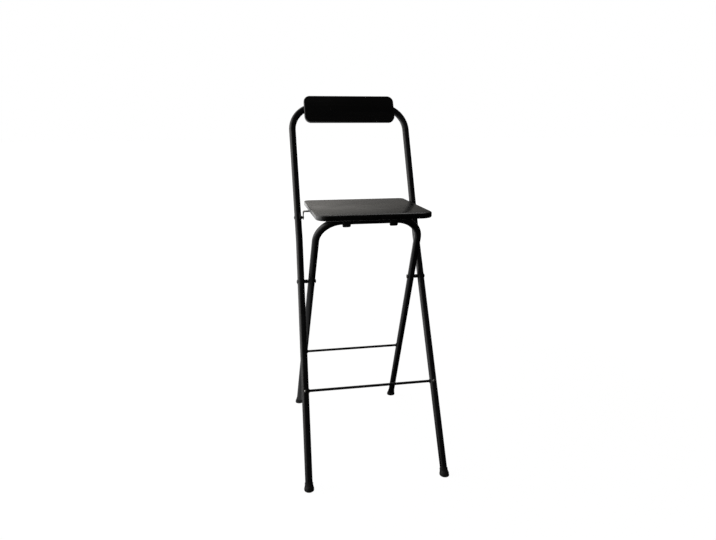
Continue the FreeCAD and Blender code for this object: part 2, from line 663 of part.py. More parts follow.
def make_slab(name, outline, length, start="0"):
    """A flat slab of the board's outline, start above its underside."""
    body = new_body(name)
    sketch = new_sketch(body, "XY_Plane", f"{name}_outline", start)
    draw(sketch, *outline)
    pad(body, sketch, length)
    return body


def make_edging(label, half, depth, front, rear, thickness, spot):
    """The rounded band round a board."""
    body = make_slab(f"{label}_body", board_outline(half, depth, front, rear, "0"), thickness)
    doc.recompute()
    slab = body.Tip
    flats = [f"Face{number}" for number, face in enumerate(slab.Shape.Faces, start=1)
             if abs(face.normalAt(0, 0).z) > 0.9]
    rounding = body.newObject("PartDesign::Fillet", f"{label}_rounding")
    rounding.Base = (slab, flats)
    rounding.setExpression("Radius", "dims.edging_round")
    place(body, *spot)
    outline = board_outline(half, depth, front, rear, "dims.edging_width")
    inside = make_slab(f"{label}_inside", outline, thickness)
    place(inside, *spot)
    return keep(label, cut(label, body, inside))


def make_board(prefix, names, half, depth, front, rear, thickness, spot, screws):
    """A laminated board, its underside at the spot, with holes for its screws."""
    outline = board_outline(half, depth, front, rear, "dims.edging_width")
    sheet = "dims.sheet_thickness"
    under, core, over = names
    bottom = place(make_slab(f"{prefix}_under", outline, sheet), *spot)
    keep(under, cut(under, bottom, screws))
    middle = place(make_slab(f"{prefix}_middle", outline, f"{thickness} - 2 * {sheet}", sheet), *spot)
    keep(core, cut(core, middle, screws))
    keep(over, place(make_slab(over, outline, sheet, f"{thickness} - {sheet}"), *spot))
    make_edging(f"{prefix}_edging", half, depth, front, rear, thickness, spot)


# Leg frame: the short tube that swings closed on the pivots.
def make_leg_tube():
    """The short inverted U whose top bar carries the front of the seat."""
    turn = "layout.leg_splay"
    route = [
        ("0", "layout.leg_bar_along"),
        ("layout.leg_cut - layout.leg_top_half", "layout.leg_bar_along"),
        (f"0 - layout.leg_top_half - layout.leg_cut * sin({turn})",
         f"layout.leg_bar_along - layout.leg_cut * cos({turn})"),
        (f"layout.leg_start * tan({turn}) - layout.leg_foot_half", "layout.leg_start"),
    ]
    tube = bent_tube("leg_tube", "layout.leg_bar_along", route, {1: ("dims.leg_bend", 1)})
    place(tube, "0", "layout.rear_y", "0", LEG_TURN)
    width = "2 * layout.leg_foot_half + 2 * dims.tube_od"
    holes = [
        cylinder("leg_pivot_hole", "dims.pivot_shank + dims.running_gap", width, f"0 - ({width}) / 2",
                 "layout.pivot_y", "dims.pivot_height", ACROSS),
        cylinder("rear_bar_hole", "layout.bar_r", "2 * layout.rear_bar_half",
                 "0 - layout.rear_bar_half", "layout.rear_bar_y", "dims.rear_bar_height", ACROSS),
    ]
    return keep("leg_frame_tube", cut("leg_frame_tube", tube, group("leg_tube_holes", holes)))


# Seat: its brackets, clips and screws.
def make_seat_screws(label, spots, head_depth):
    """Screws from below, their heads under a plate of the given thickness."""
    screws = []
    for number, (x, y) in enumerate(spots):
        screw = domed_pin(f"{label}_{number}", "dims.screw_head", "dims.screw_dome",
                          "dims.screw_shank", f"{head_depth} + dims.screw_bite")
        screws.append(place(screw, x, y, f"layout.board_under - {head_depth}"))
    return keep(label, group(label, screws))


def tangent_point(y, z, radius, side):
    """Where a line from the point (y, z) touches a circle round the origin."""
    turn = f"atan2({z}; {y}) + {side} * acos(({radius}) / hypot({y}; {z}))"
    return f"({radius}) * cos({turn})", f"({radius}) * sin({turn})"


def make_ear():
    """The bracket's ear, from the strap's width to a round end about the seat pin."""
    end = "dims.ear_round"
    front = ("0 - dims.strap_forward - dims.strap_width / 2", "layout.ear_top")
    rear = ("dims.strap_width / 2 - dims.strap_forward", "layout.ear_top")
    points = [front, tangent_point(*front, end, 1), tangent_point(*rear, end, -1), rear]
    body = new_body("ear")
    sketch = new_sketch(body, "YZ_Plane", "ear_outline", "0 - layout.ear_outer")
    draw(sketch, points, {1: (end, 1)})
    pad(body, sketch, "dims.strap_thickness")
    return place(body, "0", "layout.pin_y", "layout.pin_z")


def make_bracket(screws):
    """A steel strap: screwed flange, step down, and an ear round the seat pin."""
    thick = "dims.strap_thickness"
    upper = f"0 - {thick} / 2"
    lower = f"{upper} - dims.strap_step"
    bend = "dims.strap_bend"
    slope = "dims.strap_slope"
    short = f"{bend} * tan({slope} / 2)"
    over = f"{short} * cos({slope})"
    down = f"{short} * sin({slope})"
    step = f"dims.flange_outer + dims.strap_step / tan({slope})"
    route = [
        ("0 - dims.flange_inner", upper),
        (f"{short} - dims.flange_outer", upper),
        (f"0 - dims.flange_outer - {over}", f"{upper} - {down}"),
        (f"{over} - ({step})", f"{lower} + {down}"),
        (f"0 - ({step}) - {short}", lower),
        (f"{bend} - layout.ear_middle", lower),
        ("0 - layout.ear_middle", f"{lower} - {bend}"),
    ]
    half = "dims.strap_width / 2"
    section = [
        (f"0 - {half}", f"0 - {thick}"),
        (half, f"0 - {thick}"),
        (half, "0"),
        (f"0 - {half}", "0"),
    ]
    strap = swept("strap", route, {1: (bend, 1), 3: (bend, -1), 5: (bend, 1)},
                  lambda sketch: draw(sketch, section), "0 - dims.flange_inner")
    place(strap, "0", "layout.strap_y", "layout.board_under")
    bore = cylinder("strap_bore", "dims.pin_shank + dims.running_gap", f"3 * {thick}",
                    f"0 - layout.ear_outer - {thick}", "layout.pin_y", "layout.pin_z", ACROSS)
    bored = cut("strap_bored", fuse("strap_whole", [strap, make_ear()]), bore)
    left = keep("seat_bracket_left", cut("seat_bracket_left", bored, screws))
    keep("seat_bracket_right", mirrored("seat_bracket_right", left))


def clip_point(sideways, along):
    """A point of the clip from the bar's middle, in front of and along the mouth's direction."""
    tilt = "dims.clip_tilt"
    y = f"({along}) * sin({tilt}) - ({sideways}) * cos({tilt})"
    z = f"0 - ({sideways}) * sin({tilt}) - ({along}) * cos({tilt})"
    return y, z


def make_clip_front():
    """The clip's outline from the front, with its lower corners rounded."""
    half = "dims.clip_width / 2"
    corner = "dims.clip_corner"
    lowest = "0 - dims.clip_front_jaw * cos(dims.clip_tilt) - (layout.bar_bore + dims.clip_wall / 2)" \
        " * sin(dims.clip_tilt) - dims.clip_wall / 2"
    points = [
        (f"0 - {half}", "layout.bar_drop"),
        (f"0 - {half}", f"{lowest} + {corner}"),
        (f"{corner} - {half}", lowest),
        (f"{half} - {corner}", lowest),
        (half, f"{lowest} + {corner}"),
        (half, "layout.bar_drop"),
    ]
    body = new_body("clip_front")
    sketch = new_sketch(body, "XZ_Plane", "clip_front_outline")
    draw(sketch, points, {1: (corner, 1), 3: (corner, 1)})
    pad(body, sketch, "2 * dims.clip_reach", midplane=True)
    return place(body, "0 - dims.clip_half", "layout.leg_bar_y", "layout.leg_bar_z")


def make_clip(screws):
    """An open plastic jaw under the seat that the leg frame's top bar drops out of as it folds."""
    bore = "layout.bar_bore"
    wall = "dims.clip_wall"
    outer = f"{bore} + {wall}"
    flange = "layout.bar_drop - dims.clip_base"
    shoulder = f"0 - (dims.clip_shoulder + ({outer}) * sin(dims.clip_tilt)) / cos(dims.clip_tilt)"
    heel = f"(({outer}) * sin(dims.clip_tilt) - ({flange})) / cos(dims.clip_tilt)"
    front, _ = clip_point(outer, shoulder)
    rear, _ = clip_point(f"0 - ({outer})", heel)
    points = [
        (front, "layout.bar_drop"),
        (front, "dims.clip_shoulder"),
        clip_point(outer, "dims.clip_front_jaw"),
        clip_point(f"{bore} + {wall} / 2", f"dims.clip_front_jaw + {wall} / 2"),
        clip_point(bore, "dims.clip_front_jaw"),
        clip_point(bore, "0"),
        clip_point("0", f"0 - {bore}"),
        clip_point(f"0 - {bore}", "0"),
        clip_point(f"0 - {bore} - dims.clip_flare", "dims.clip_rear_jaw"),
        clip_point(f"0 - ({outer})", "dims.clip_rear_jaw"),
        (rear, flange),
        ("dims.clip_reach", flange),
        ("dims.clip_reach", "layout.bar_drop"),
    ]
    tip = f"{wall} / 2"
    arcs = {2: (tip, 1), 3: (tip, 1), 5: (bore, -1), 6: (bore, -1)}
    body = new_body("clip")
    sketch = new_sketch(body, "YZ_Plane", "clip_outline")
    draw(sketch, points, arcs)
    pad(body, sketch, "dims.clip_width", midplane=True)
    place(body, "0 - dims.clip_half", "layout.leg_bar_y", "layout.leg_bar_z")
    rounded = doc.addObject("Part::Common", "clip_rounded")
    rounded.Base = body
    rounded.Tool = make_clip_front()
    left = keep("bar_clip_left", cut("bar_clip_left", rounded, screws))
    keep("bar_clip_right", mirrored("bar_clip_right", left))


def make_seat():
    """The seat board with all that is screwed under it."""
    bracket_spots = []
    clip_spots = []
    for side in (LEFT, RIGHT):
        for end in (LEFT, RIGHT):
            bracket_spots.append((f"{side} * layout.flange_middle",
                                  f"layout.strap_y + {end} * dims.bracket_screw_pitch / 2"))
            clip_spots.append((f"{side} * dims.clip_half + {end} * dims.clip_screw_pitch / 2",
                               "layout.leg_bar_y + dims.clip_screw_back"))
    bracket_screws = make_seat_screws("seat_bracket_screws", bracket_spots, "dims.strap_thickness")
    clip_screws = make_seat_screws("bar_clip_screws", clip_spots, "dims.clip_base")
    make_bracket(bracket_screws)
    make_clip(clip_screws)
    spot = ("0", "layout.front_y + dims.seat_setback", "layout.board_under")
    screws = group("seat_screw_tools", [bracket_screws, clip_screws])
    make_board("seat", ("seat_bottom_sheet", "seat_core", "seat_top_sheet"), "dims.seat_width / 2",
               "dims.seat_depth", "dims.seat_front_corner", "dims.seat_rear_corner",
               "dims.seat_thickness", spot, screws)


def make_back_frame():
    """All that belongs to the long frame."""
    screws = make_backrest_screws()
    make_back_tube(screws)
    bar = make_foot_bar("front_bar", "layout.front_bar_half", "layout.front_bar_y",
                        "dims.front_bar_height", back_leg_filler)
    keep("front_foot_bar", cut("front_foot_bar", bar, make_foot_bar_rivets()))
    make_ferrule("front_foot", "dims.back_foot_half", "layout.front_y", BACK_LEG_TURN, back_leg_filler)
    make_pivots()
    make_seat_pins()
    make_saddles(screws)
    spot = ("0", *on_back("layout.back_foot_along", "layout.back_rear_face"), FORWARD_TURN)
    make_board("backrest", ("backrest_rear_sheet", "backrest_core", "backrest_front_sheet"),
               "dims.back_width / 2", "dims.back_height", "dims.back_corner", "dims.back_corner",
               "dims.back_thickness", spot, screws)


def make_leg_frame():
    """All that swings with the rear feet."""
    make_leg_tube()
    bar = make_foot_bar("rear_bar", "layout.rear_bar_half", "layout.rear_bar_y",
                        "dims.rear_bar_height", leg_leg_filler)
    keep("rear_foot_bar", bar)
    make_ferrule("rear_foot", "layout.leg_foot_half", "layout.rear_y", LEG_LEG_TURN, leg_leg_filler)


def check_document():
    """Stops if any object of the document failed or a finished piece has no sound shape."""
    doc.recompute()
    failed = [item.Name for item in doc.Objects if {"Invalid", "Error"} & set(item.State)]
    if failed:
        raise RuntimeError(f"these objects failed: {failed}")
    for piece in nodes:
        if piece.Shape.isNull() or not piece.Shape.isValid() or not piece.Shape.Solids:
            raise RuntimeError(f"{piece.Label} has no sound shape")


def write_parts():
    """Writes each piece to a file of its own."""
    os.makedirs("parts", exist_ok=True)
    for piece in nodes:
        piece.Shape.exportStep(os.path.join("parts", f"{piece.Label}.step"))
        print(f"{piece.Label}: {len(piece.Shape.Solids)} solids, {piece.Shape.Volume / 1000:.2f} cm3")


make_back_frame()
make_leg_frame()
make_seat()
check_document()
write_parts()
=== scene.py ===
import json
import logging
import math
from dataclasses import dataclass
from enum import Enum
from functools import reduce
from typing import Any, Callable, Sequence

import bmesh
import bpy
from mathutils import Matrix, Vector

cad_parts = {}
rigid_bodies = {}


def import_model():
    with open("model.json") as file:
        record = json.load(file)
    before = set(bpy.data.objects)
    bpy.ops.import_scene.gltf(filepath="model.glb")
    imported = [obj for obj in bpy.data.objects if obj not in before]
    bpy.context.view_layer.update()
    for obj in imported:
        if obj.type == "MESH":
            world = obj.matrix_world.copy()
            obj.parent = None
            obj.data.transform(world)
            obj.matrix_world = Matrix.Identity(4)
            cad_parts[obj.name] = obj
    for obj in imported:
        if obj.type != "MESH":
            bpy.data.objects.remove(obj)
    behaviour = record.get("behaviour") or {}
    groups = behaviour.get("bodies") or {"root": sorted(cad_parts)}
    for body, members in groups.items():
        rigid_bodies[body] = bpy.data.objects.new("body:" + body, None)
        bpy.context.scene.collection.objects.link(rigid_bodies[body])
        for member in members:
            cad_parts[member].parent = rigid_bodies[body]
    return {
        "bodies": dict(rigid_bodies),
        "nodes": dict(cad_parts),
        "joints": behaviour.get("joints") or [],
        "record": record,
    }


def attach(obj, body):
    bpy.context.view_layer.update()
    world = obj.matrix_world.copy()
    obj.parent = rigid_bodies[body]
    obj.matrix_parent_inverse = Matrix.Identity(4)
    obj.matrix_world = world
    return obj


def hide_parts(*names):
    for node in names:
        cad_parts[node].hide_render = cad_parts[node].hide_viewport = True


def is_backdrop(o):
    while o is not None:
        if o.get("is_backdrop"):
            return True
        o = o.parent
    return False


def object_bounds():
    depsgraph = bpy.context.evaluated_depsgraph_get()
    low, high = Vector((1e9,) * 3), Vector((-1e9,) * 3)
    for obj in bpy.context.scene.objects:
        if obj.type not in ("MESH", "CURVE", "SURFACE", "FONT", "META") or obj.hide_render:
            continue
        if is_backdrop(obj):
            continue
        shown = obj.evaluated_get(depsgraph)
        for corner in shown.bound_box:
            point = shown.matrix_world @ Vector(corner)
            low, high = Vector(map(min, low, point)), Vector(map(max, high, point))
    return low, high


# Folding bar stool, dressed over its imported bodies. Sizes of pieces are in millimetres. Those of
# the studio, the patterns and the trees' inputs are in metres. +Z is up, the front faces -Y, and
# left is the -X side.

log = logging.getLogger("stool")

MM = 0.001
SIDES = ((-1, "left"), (1, "right"))
UP = Vector((0.0, 0.0, 1.0))
DOWN = -UP
TUBE_RADIUS = 9.5
SEAT_PIN_Y = 40.155
SEAT_PIN_Z = 655.1
BOARD_UNDER = 683.5
CRISP_ANGLE = 35.0
SAME_POINT = 1e-6

Point2 = tuple[float, float]
Point3 = tuple[float, float, float]
Color = tuple[float, float, float]
Span = tuple[float, float]
Spot = tuple[Vector, Vector, Vector]

SOCKET_KINDS = {type(None): "NodeSocketVector", bool: "NodeSocketBool", int: "NodeSocketInt",
                float: "NodeSocketFloat"}


class Body(Enum):
    """Bodies that move on their own."""

    BACK = "back_frame"
    LEG = "leg_frame"
    SEAT = "seat"


class Slot(Enum):
    """Finishes that the pieces take."""

    PAINT = "frame_paint"
    BLACK_STEEL = "black_steel"
    PLATED_STEEL = "plated_steel"
    LAMINATE = "laminate"
    CORE = "board_core"
    EDGING = "edge_plastic"
    PLASTIC = "black_plastic"
    RUBBER = "foot_rubber"


class Recess(Enum):
    """What a fastener's head has in it."""

    PLAIN = False
    CROSS = True


class Graph:
    """Adds nodes to a shader or geometry tree in short calls."""

    def __init__(self, tree: bpy.types.NodeTree) -> None:
        """Works on the tree."""
        self.tree = tree

    def add(self, kind: str, inputs: dict[int | str, Any] | None = None, **settings: Any) -> bpy.types.Node:
        """Adds one node.

        Args:
            kind: The node's type name.
            inputs: Sockets to link or values to set, by number or name.
            settings: The node's own properties.

        Returns:
            The new node.
        """
        node = self.tree.nodes.new(kind)
        node.location = (200 * len(self.tree.nodes), 0)
        for name, value in settings.items():
            setattr(node, name, value)
        for key, value in (inputs or {}).items():
            socket = node.inputs[key]
            if isinstance(value, bpy.types.NodeSocket):
                self.link(value, socket)
            else:
                socket.default_value = value
        return node

    def link(self, source: bpy.types.NodeSocket, target: bpy.types.NodeSocket) -> None:
        """Joins an output to an input."""
        self.tree.links.new(source, target)

    def lifted(self, height: Any) -> bpy.types.NodeSocket:
        """A step straight up by a height."""
        return self.add("ShaderNodeCombineXYZ", {2: height}).outputs[0]

    def raised(self, shape: bpy.types.NodeSocket, height: Any) -> bpy.types.NodeSocket:
        """A shape that is moved straight up by a height."""
        inputs = {"Geometry": shape, "Translation": self.lifted(height)}
        return self.add("GeometryNodeTransform", inputs).outputs[0]

    def part(self, vector: Any, axis: int) -> bpy.types.NodeSocket:
        """One of a vector's coordinates, by its number."""
        return self.add("ShaderNodeSeparateXYZ", {0: vector}).outputs[axis]

    def product(self, *factors: Any) -> bpy.types.NodeSocket:
        """Two or more numbers or sockets, multiplied."""
        return reduce(lambda first, second: self.math("MULTIPLY", first, second), factors)

    def math(self, operation: str, first: Any, second: Any = 0.0) -> bpy.types.NodeSocket:
        """The result of one operation on two numbers or sockets."""
        return self.add("ShaderNodeMath", {0: first, 1: second}, operation=operation).outputs[0]

    def ramp(self, value: Any, low: float, high: float, to_low: Any = 0.0,
             to_high: Any = 1.0) -> bpy.types.NodeSocket:
        """Takes a value from one range to another, smoothly and within the new one."""
        inputs = {0: value, 1: low, 2: high, 3: to_low, 4: to_high}
        return self.add("ShaderNodeMapRange", inputs, interpolation_type="SMOOTHSTEP").outputs[0]

    def blend(self, factor: Any, first: Any, second: Any) -> bpy.types.NodeSocket:
        """The mix of two colours, where factor is the second one's share."""
        return self.add("ShaderNodeMix", {0: factor, 6: first, 7: second}, data_type="RGBA").outputs[2]

    def noise(self, vector: Any, scale: Any, detail: float = 4.0, rough: float = 0.5,
              twist: float = 0.0) -> bpy.types.NodeSocket:
        """A noise that varies over the piece.

        Args:
            vector: Where it is read.
            scale: Its features to the metre.
            detail: Its octaves.
            rough: How strong the finer ones are.
            twist: How far it is bent by itself.

        Returns:
            The noise's socket, from 0 to 1.
        """
        inputs = {"Vector": vector, "Scale": scale, "Detail": detail, "Roughness": rough,
                  "Distortion": twist}
        return self.add("ShaderNodeTexNoise", inputs).outputs[0]

    def stretch(self, vector: Any, scale: Any) -> bpy.types.NodeSocket:
        """A pattern's coordinates, times a factor each along X, Y and Z."""
        return self.add("ShaderNodeVectorMath", {0: vector, 1: scale}, operation="MULTIPLY").outputs[0]


def rgba(color: Sequence[float]) -> tuple[float, float, float, float]:
    """A colour with its alpha."""
    return (color[0], color[1], color[2], 1.0)


def declare(tree: bpy.types.NodeTree, inputs: dict[str, Any]) -> None:
    """Gives a tree its named inputs.

    Args:
        tree: The tree.
        inputs: Each input's value, whose type says what socket it is; None stands for coordinates.
    """
    for label, value in inputs.items():
        socket = tree.interface.new_socket(label, in_out="INPUT", socket_type=SOCKET_KINDS[type(value)])
        if value is not None:
            socket.default_value = value


class Effects:
    """Shader node groups that several finishes share. A Span is the part of a value they fade over."""

    _made: dict[str, bpy.types.NodeTree] = {}
    patches: Span = (0.32, 0.68)
    cuts: Span = (0.69, 0.76)
    cut_areas: Span = (0.45, 0.7)
    blots: Span = (0.52, 0.66)
    upward: Span = (0.35, 1.0)
    clouds: Span = (0.4, 0.75)
    figure: Span = (0.36, 0.64)
    dashes: Span = (0.58, 0.66)
    dashed_bands: Span = (0.4, 0.6)
    grain_shares: Point3 = (0.5, 0.22, 0.28)

    @classmethod
    def group(cls, name: str, inputs: dict[str, Any], outputs: Sequence[str],
              fill: Callable[[Graph, Any, Any], None]) -> bpy.types.NodeTree:
        """Makes a node group once and then hands out the same one.

        Args:
            name: The group's name.
            inputs: Each input's value by name.
            outputs: Names of the outputs, which are numbers.
            fill: Adds the group's nodes between its two ends.

        Returns:
            The group.
        """
        if name not in cls._made:
            tree = bpy.data.node_groups.new(name, "ShaderNodeTree")
            declare(tree, inputs)
            for label in outputs:
                tree.interface.new_socket(label, in_out="OUTPUT", socket_type=SOCKET_KINDS[float])
            graph = Graph(tree)
            entry = graph.add("NodeGroupInput")
            leave = graph.add("NodeGroupOutput")
            fill(graph, entry.outputs, leave.inputs)
            cls._made[name] = tree
        return cls._made[name]

    @classmethod
    def speckle(cls) -> bpy.types.NodeTree:
        """Uneven gloss and a fine skin, as spray paint and moulded plastic have.

        Returns:
            A group with a Value from 0 to 1 and a Height.
        """
        def fill(graph: Graph, entry: Any, leave: Any) -> None:
            """Adds the group's nodes.

            Args:
                graph: The group's tree.
                entry: Its inputs.
                leave: Its outputs.
            """
            broad = graph.noise(entry["Vector"], entry["Patch Scale"], 3.0)
            graph.link(graph.ramp(broad, *cls.patches), leave["Value"])
            graph.link(graph.noise(entry["Vector"], entry["Skin Scale"], 3.0, 0.6), leave["Height"])

        inputs = {"Vector": None, "Patch Scale": 30.0, "Skin Scale": 600.0}
        return cls.group("speckle", inputs, ["Value", "Height"], fill)

    @classmethod
    def scratches(cls) -> bpy.types.NodeTree:
        """Thin scuffs in two directions, denser where a second noise allows them.

        Returns:
            A group with a Mask.
        """
        def fill(graph: Graph, entry: Any, leave: Any) -> None:
            """Adds the group's nodes.

            Args:
                graph: The group's tree.
                entry: Its inputs.
                leave: Its outputs.
            """
            masks = []
            for turn, reach in ((0.5, (1.0, 14.0, 3.0)), (-0.9, (11.0, 1.0, 2.0))):
                turned = graph.add("ShaderNodeVectorRotate", {"Vector": entry["Vector"], "Angle": turn})
                lines = graph.noise(graph.stretch(turned.outputs[0], reach), entry["Scale"], 2.0, 0.4)
                masks.append(graph.ramp(lines, *cls.cuts))
            where = graph.ramp(graph.noise(entry["Vector"], 14.0, 2.0), *cls.cut_areas)
            both = graph.math("MAXIMUM", *masks)
            graph.link(graph.product(both, where, entry["Amount"]), leave["Mask"])

        return cls.group("scratches", {"Vector": None, "Scale": 60.0, "Amount": 0.5}, ["Mask"], fill)

    @classmethod
    def rubbed(cls) -> bpy.types.NodeTree:
        """Wear that fades out with height, as shoes leave it on legs and foot bars.

        Returns:
            A group with a Mask.
        """
        def fill(graph: Graph, entry: Any, leave: Any) -> None:
            """Adds the group's nodes.

            Args:
                graph: The group's tree.
                entry: Its inputs.
                leave: Its outputs.
            """
            near = graph.ramp(graph.part(entry["Vector"], 2), 0.0, entry["To"], 1.0, 0.0)
            blot = graph.ramp(graph.noise(entry["Vector"], entry["Scale"], 6.0, 0.7), *cls.blots)
            graph.link(graph.product(near, blot, entry["Amount"]), leave["Mask"])

        inputs = {"Vector": None, "To": 0.3, "Scale": 90.0, "Amount": 0.5}
        return cls.group("rubbed", inputs, ["Mask"], fill)

    @classmethod
    def dust(cls) -> bpy.types.NodeTree:
        """A thin film on whatever faces up.

        Returns:
            A group with a Mask.
        """
        def fill(graph: Graph, entry: Any, leave: Any) -> None:
            """Adds the group's nodes.

            Args:
                graph: The group's tree.
                entry: Its inputs.
                leave: Its outputs.
            """
            normal = graph.add("ShaderNodeTexCoord").outputs["Normal"]
            facing = graph.ramp(graph.part(normal, 2), *cls.upward)
            cloud = graph.ramp(graph.noise(entry["Vector"], 26.0, 7.0, 0.68), *cls.clouds)
            graph.link(graph.product(facing, cloud, entry["Amount"]), leave["Mask"])

        return cls.group("dust", {"Vector": None, "Amount": 0.1}, ["Mask"], fill)

    @classmethod
    def wood_grain(cls) -> bpy.types.NodeTree:
        """Printed wood grain along X with long pores pressed into it.

        Returns:
            A group with a Figure and a Pores mask.
        """
        def fill(graph: Graph, entry: Any, leave: Any) -> None:
            """Adds the group's nodes.

            Args:
                graph: The group's tree.
                entry: Its inputs.
                leave: Its outputs.
            """
            vector = entry["Vector"]
            sway = graph.noise(graph.stretch(vector, (3.0, 9.0, 9.0)), 1.0, 2.0)
            shift = graph.product(graph.math("SUBTRACT", sway, 0.5), entry["Sway"])
            bent = graph.add("ShaderNodeCombineXYZ", {0: 0.0, 1: shift, 2: shift}).outputs[0]
            moved = graph.add("ShaderNodeVectorMath", {0: vector, 1: bent}, operation="ADD").outputs[0]
            bands = graph.noise(graph.stretch(moved, (2.2, 85.0, 85.0)), 1.0, 5.0, 0.62, 0.25)
            streaks = graph.noise(graph.stretch(moved, (7.0, 420.0, 420.0)), 1.0, 3.0, 0.6)
            wide = graph.noise(graph.stretch(moved, (1.2, 22.0, 22.0)), 1.0, 2.0)
            parts = zip((bands, streaks, wide), cls.grain_shares)
            first, second, third = [graph.product(part, share) for part, share in parts]
            total = graph.math("ADD", graph.math("ADD", first, second), third)
            graph.link(graph.ramp(total, *cls.figure), leave["Figure"])
            dashes = graph.noise(graph.stretch(moved, (24.0, 900.0, 900.0)), 1.0, 2.0, 0.5)
            pores = graph.product(graph.ramp(dashes, *cls.dashes), graph.ramp(bands, *cls.dashed_bands))
            graph.link(pores, leave["Pores"])

        return cls.group("wood grain", {"Vector": None, "Sway": 0.03}, ["Figure", "Pores"], fill)


def new_material(name: str) -> tuple[bpy.types.Material, Graph, bpy.types.Node, bpy.types.NodeSocket]:
    """Starts a material.

    Args:
        name: Its name.

    Returns:
        The material, its tree, its Principled BSDF and its piece's own coordinates.
    """
    made = bpy.data.materials.new(name)
    made.use_nodes = True
    graph = Graph(made.node_tree)
    vector = graph.add("ShaderNodeTexCoord").outputs["Object"]
    return made, graph, made.node_tree.nodes["Principled BSDF"], vector


@dataclass(frozen=True)
class Finish:
    """What every finish has: a bump, with its depth in millimetres, and a way to build its nodes."""

    strength: float = 0.4
    depth: float = 0.05

    def material(self, name: str) -> bpy.types.Material:
        """Makes the material.

        Args:
            name: Its name.

        Returns:
            The material, with its nodes in place.
        """
        made, graph, shader, vector = new_material(name)
        self.fill(graph, shader, vector)
        return made

    def fill(self, graph: Graph, shader: bpy.types.Node, vector: bpy.types.NodeSocket) -> None:
        """Adds the finish's nodes to its shader."""
        raise NotImplementedError

    @staticmethod
    def effect(graph: Graph, tree: bpy.types.NodeTree, inputs: dict[str, Any]) -> Any:
        """The outputs of a shared group, placed with its values and links."""
        return graph.add("ShaderNodeGroup", inputs, node_tree=tree).outputs

    def bump(self, graph: Graph, shader: bpy.types.Node, height: Any) -> None:
        """Gives the shader the finish's bump.

        Args:
            graph: The material's tree.
            shader: Its Principled BSDF.
            height: The height's socket.
        """
        node = graph.add("ShaderNodeBump", {"Strength": self.strength, "Distance": self.depth * MM,
                                            "Height": height})
        graph.link(node.outputs[0], shader.inputs["Normal"])


@dataclass(frozen=True)
class CoatedFinish(Finish):
    """What paint and moulded plastic share: an uneven skin, scuffs low down, scratches and dust."""

    dark: Color = (0.0040, 0.0040, 0.0046)
    light: Color = (0.0070, 0.0070, 0.0078)
    scuff: Color = (0.030, 0.029, 0.028)
    gloss: Span = (0.27, 0.36)
    patch: float = 22.0
    skin: float = 520.0
    worn_to: float = 0.14
    wear_scale: float = 120.0
    wear: float = 0.22
    line_scale: float = 48.0
    lines: float = 0.1
    dust: float = 0.05

    def coat(self, graph: Graph, shader: bpy.types.Node,
             vector: bpy.types.NodeSocket) -> tuple[Any, bpy.types.NodeSocket, bpy.types.NodeSocket]:
        """Colours the coat and works out where it is marked.

        Args:
            graph: The material's tree.
            shader: Its Principled BSDF.
            vector: The piece's own coordinates.

        Returns:
            The skin's outputs, the mask of wear and the mask of every mark.
        """
        skin = self.effect(graph, Effects.speckle(),
                           {"Vector": vector, "Patch Scale": self.patch, "Skin Scale": self.skin})
        low = self.effect(graph, Effects.rubbed(), {"Vector": vector, "To": self.worn_to,
                                                    "Scale": self.wear_scale, "Amount": self.wear})
        cuts = self.effect(graph, Effects.scratches(),
                           {"Vector": vector, "Scale": self.line_scale, "Amount": self.lines})
        film = self.effect(graph, Effects.dust(), {"Vector": vector, "Amount": self.dust})
        worn = graph.math("MAXIMUM", low["Mask"], cuts["Mask"])
        mark = graph.math("MAXIMUM", worn, film["Mask"])
        base = graph.blend(skin["Value"], rgba(self.dark), rgba(self.light))
        graph.link(graph.blend(mark, base, rgba(self.scuff)), shader.inputs["Base Color"])
        return skin, worn, mark


@dataclass(frozen=True)
class PaintFinish(CoatedFinish):
    """Baked black paint on steel tube, with a faint orange peel and shoe scuffs low down."""

    scuff_gloss: float = 0.55
    worn_depth: float = 0.8
    strength: float = 0.35

    def fill(self, graph: Graph, shader: bpy.types.Node, vector: bpy.types.NodeSocket) -> None:
        """Adds the paint's nodes.

        Args:
            graph: The material's tree.
            shader: Its Principled BSDF.
            vector: The piece's own coordinates.
        """
        skin, worn, mark = self.coat(graph, shader, vector)
        gloss = graph.ramp(skin["Value"], 0.0, 1.0, *self.gloss)
        graph.link(graph.ramp(mark, 0.0, 1.0, gloss, self.scuff_gloss), shader.inputs["Roughness"])
        relief = graph.math("SUBTRACT", skin["Height"], graph.product(worn, self.worn_depth))
        self.bump(graph, shader, relief)


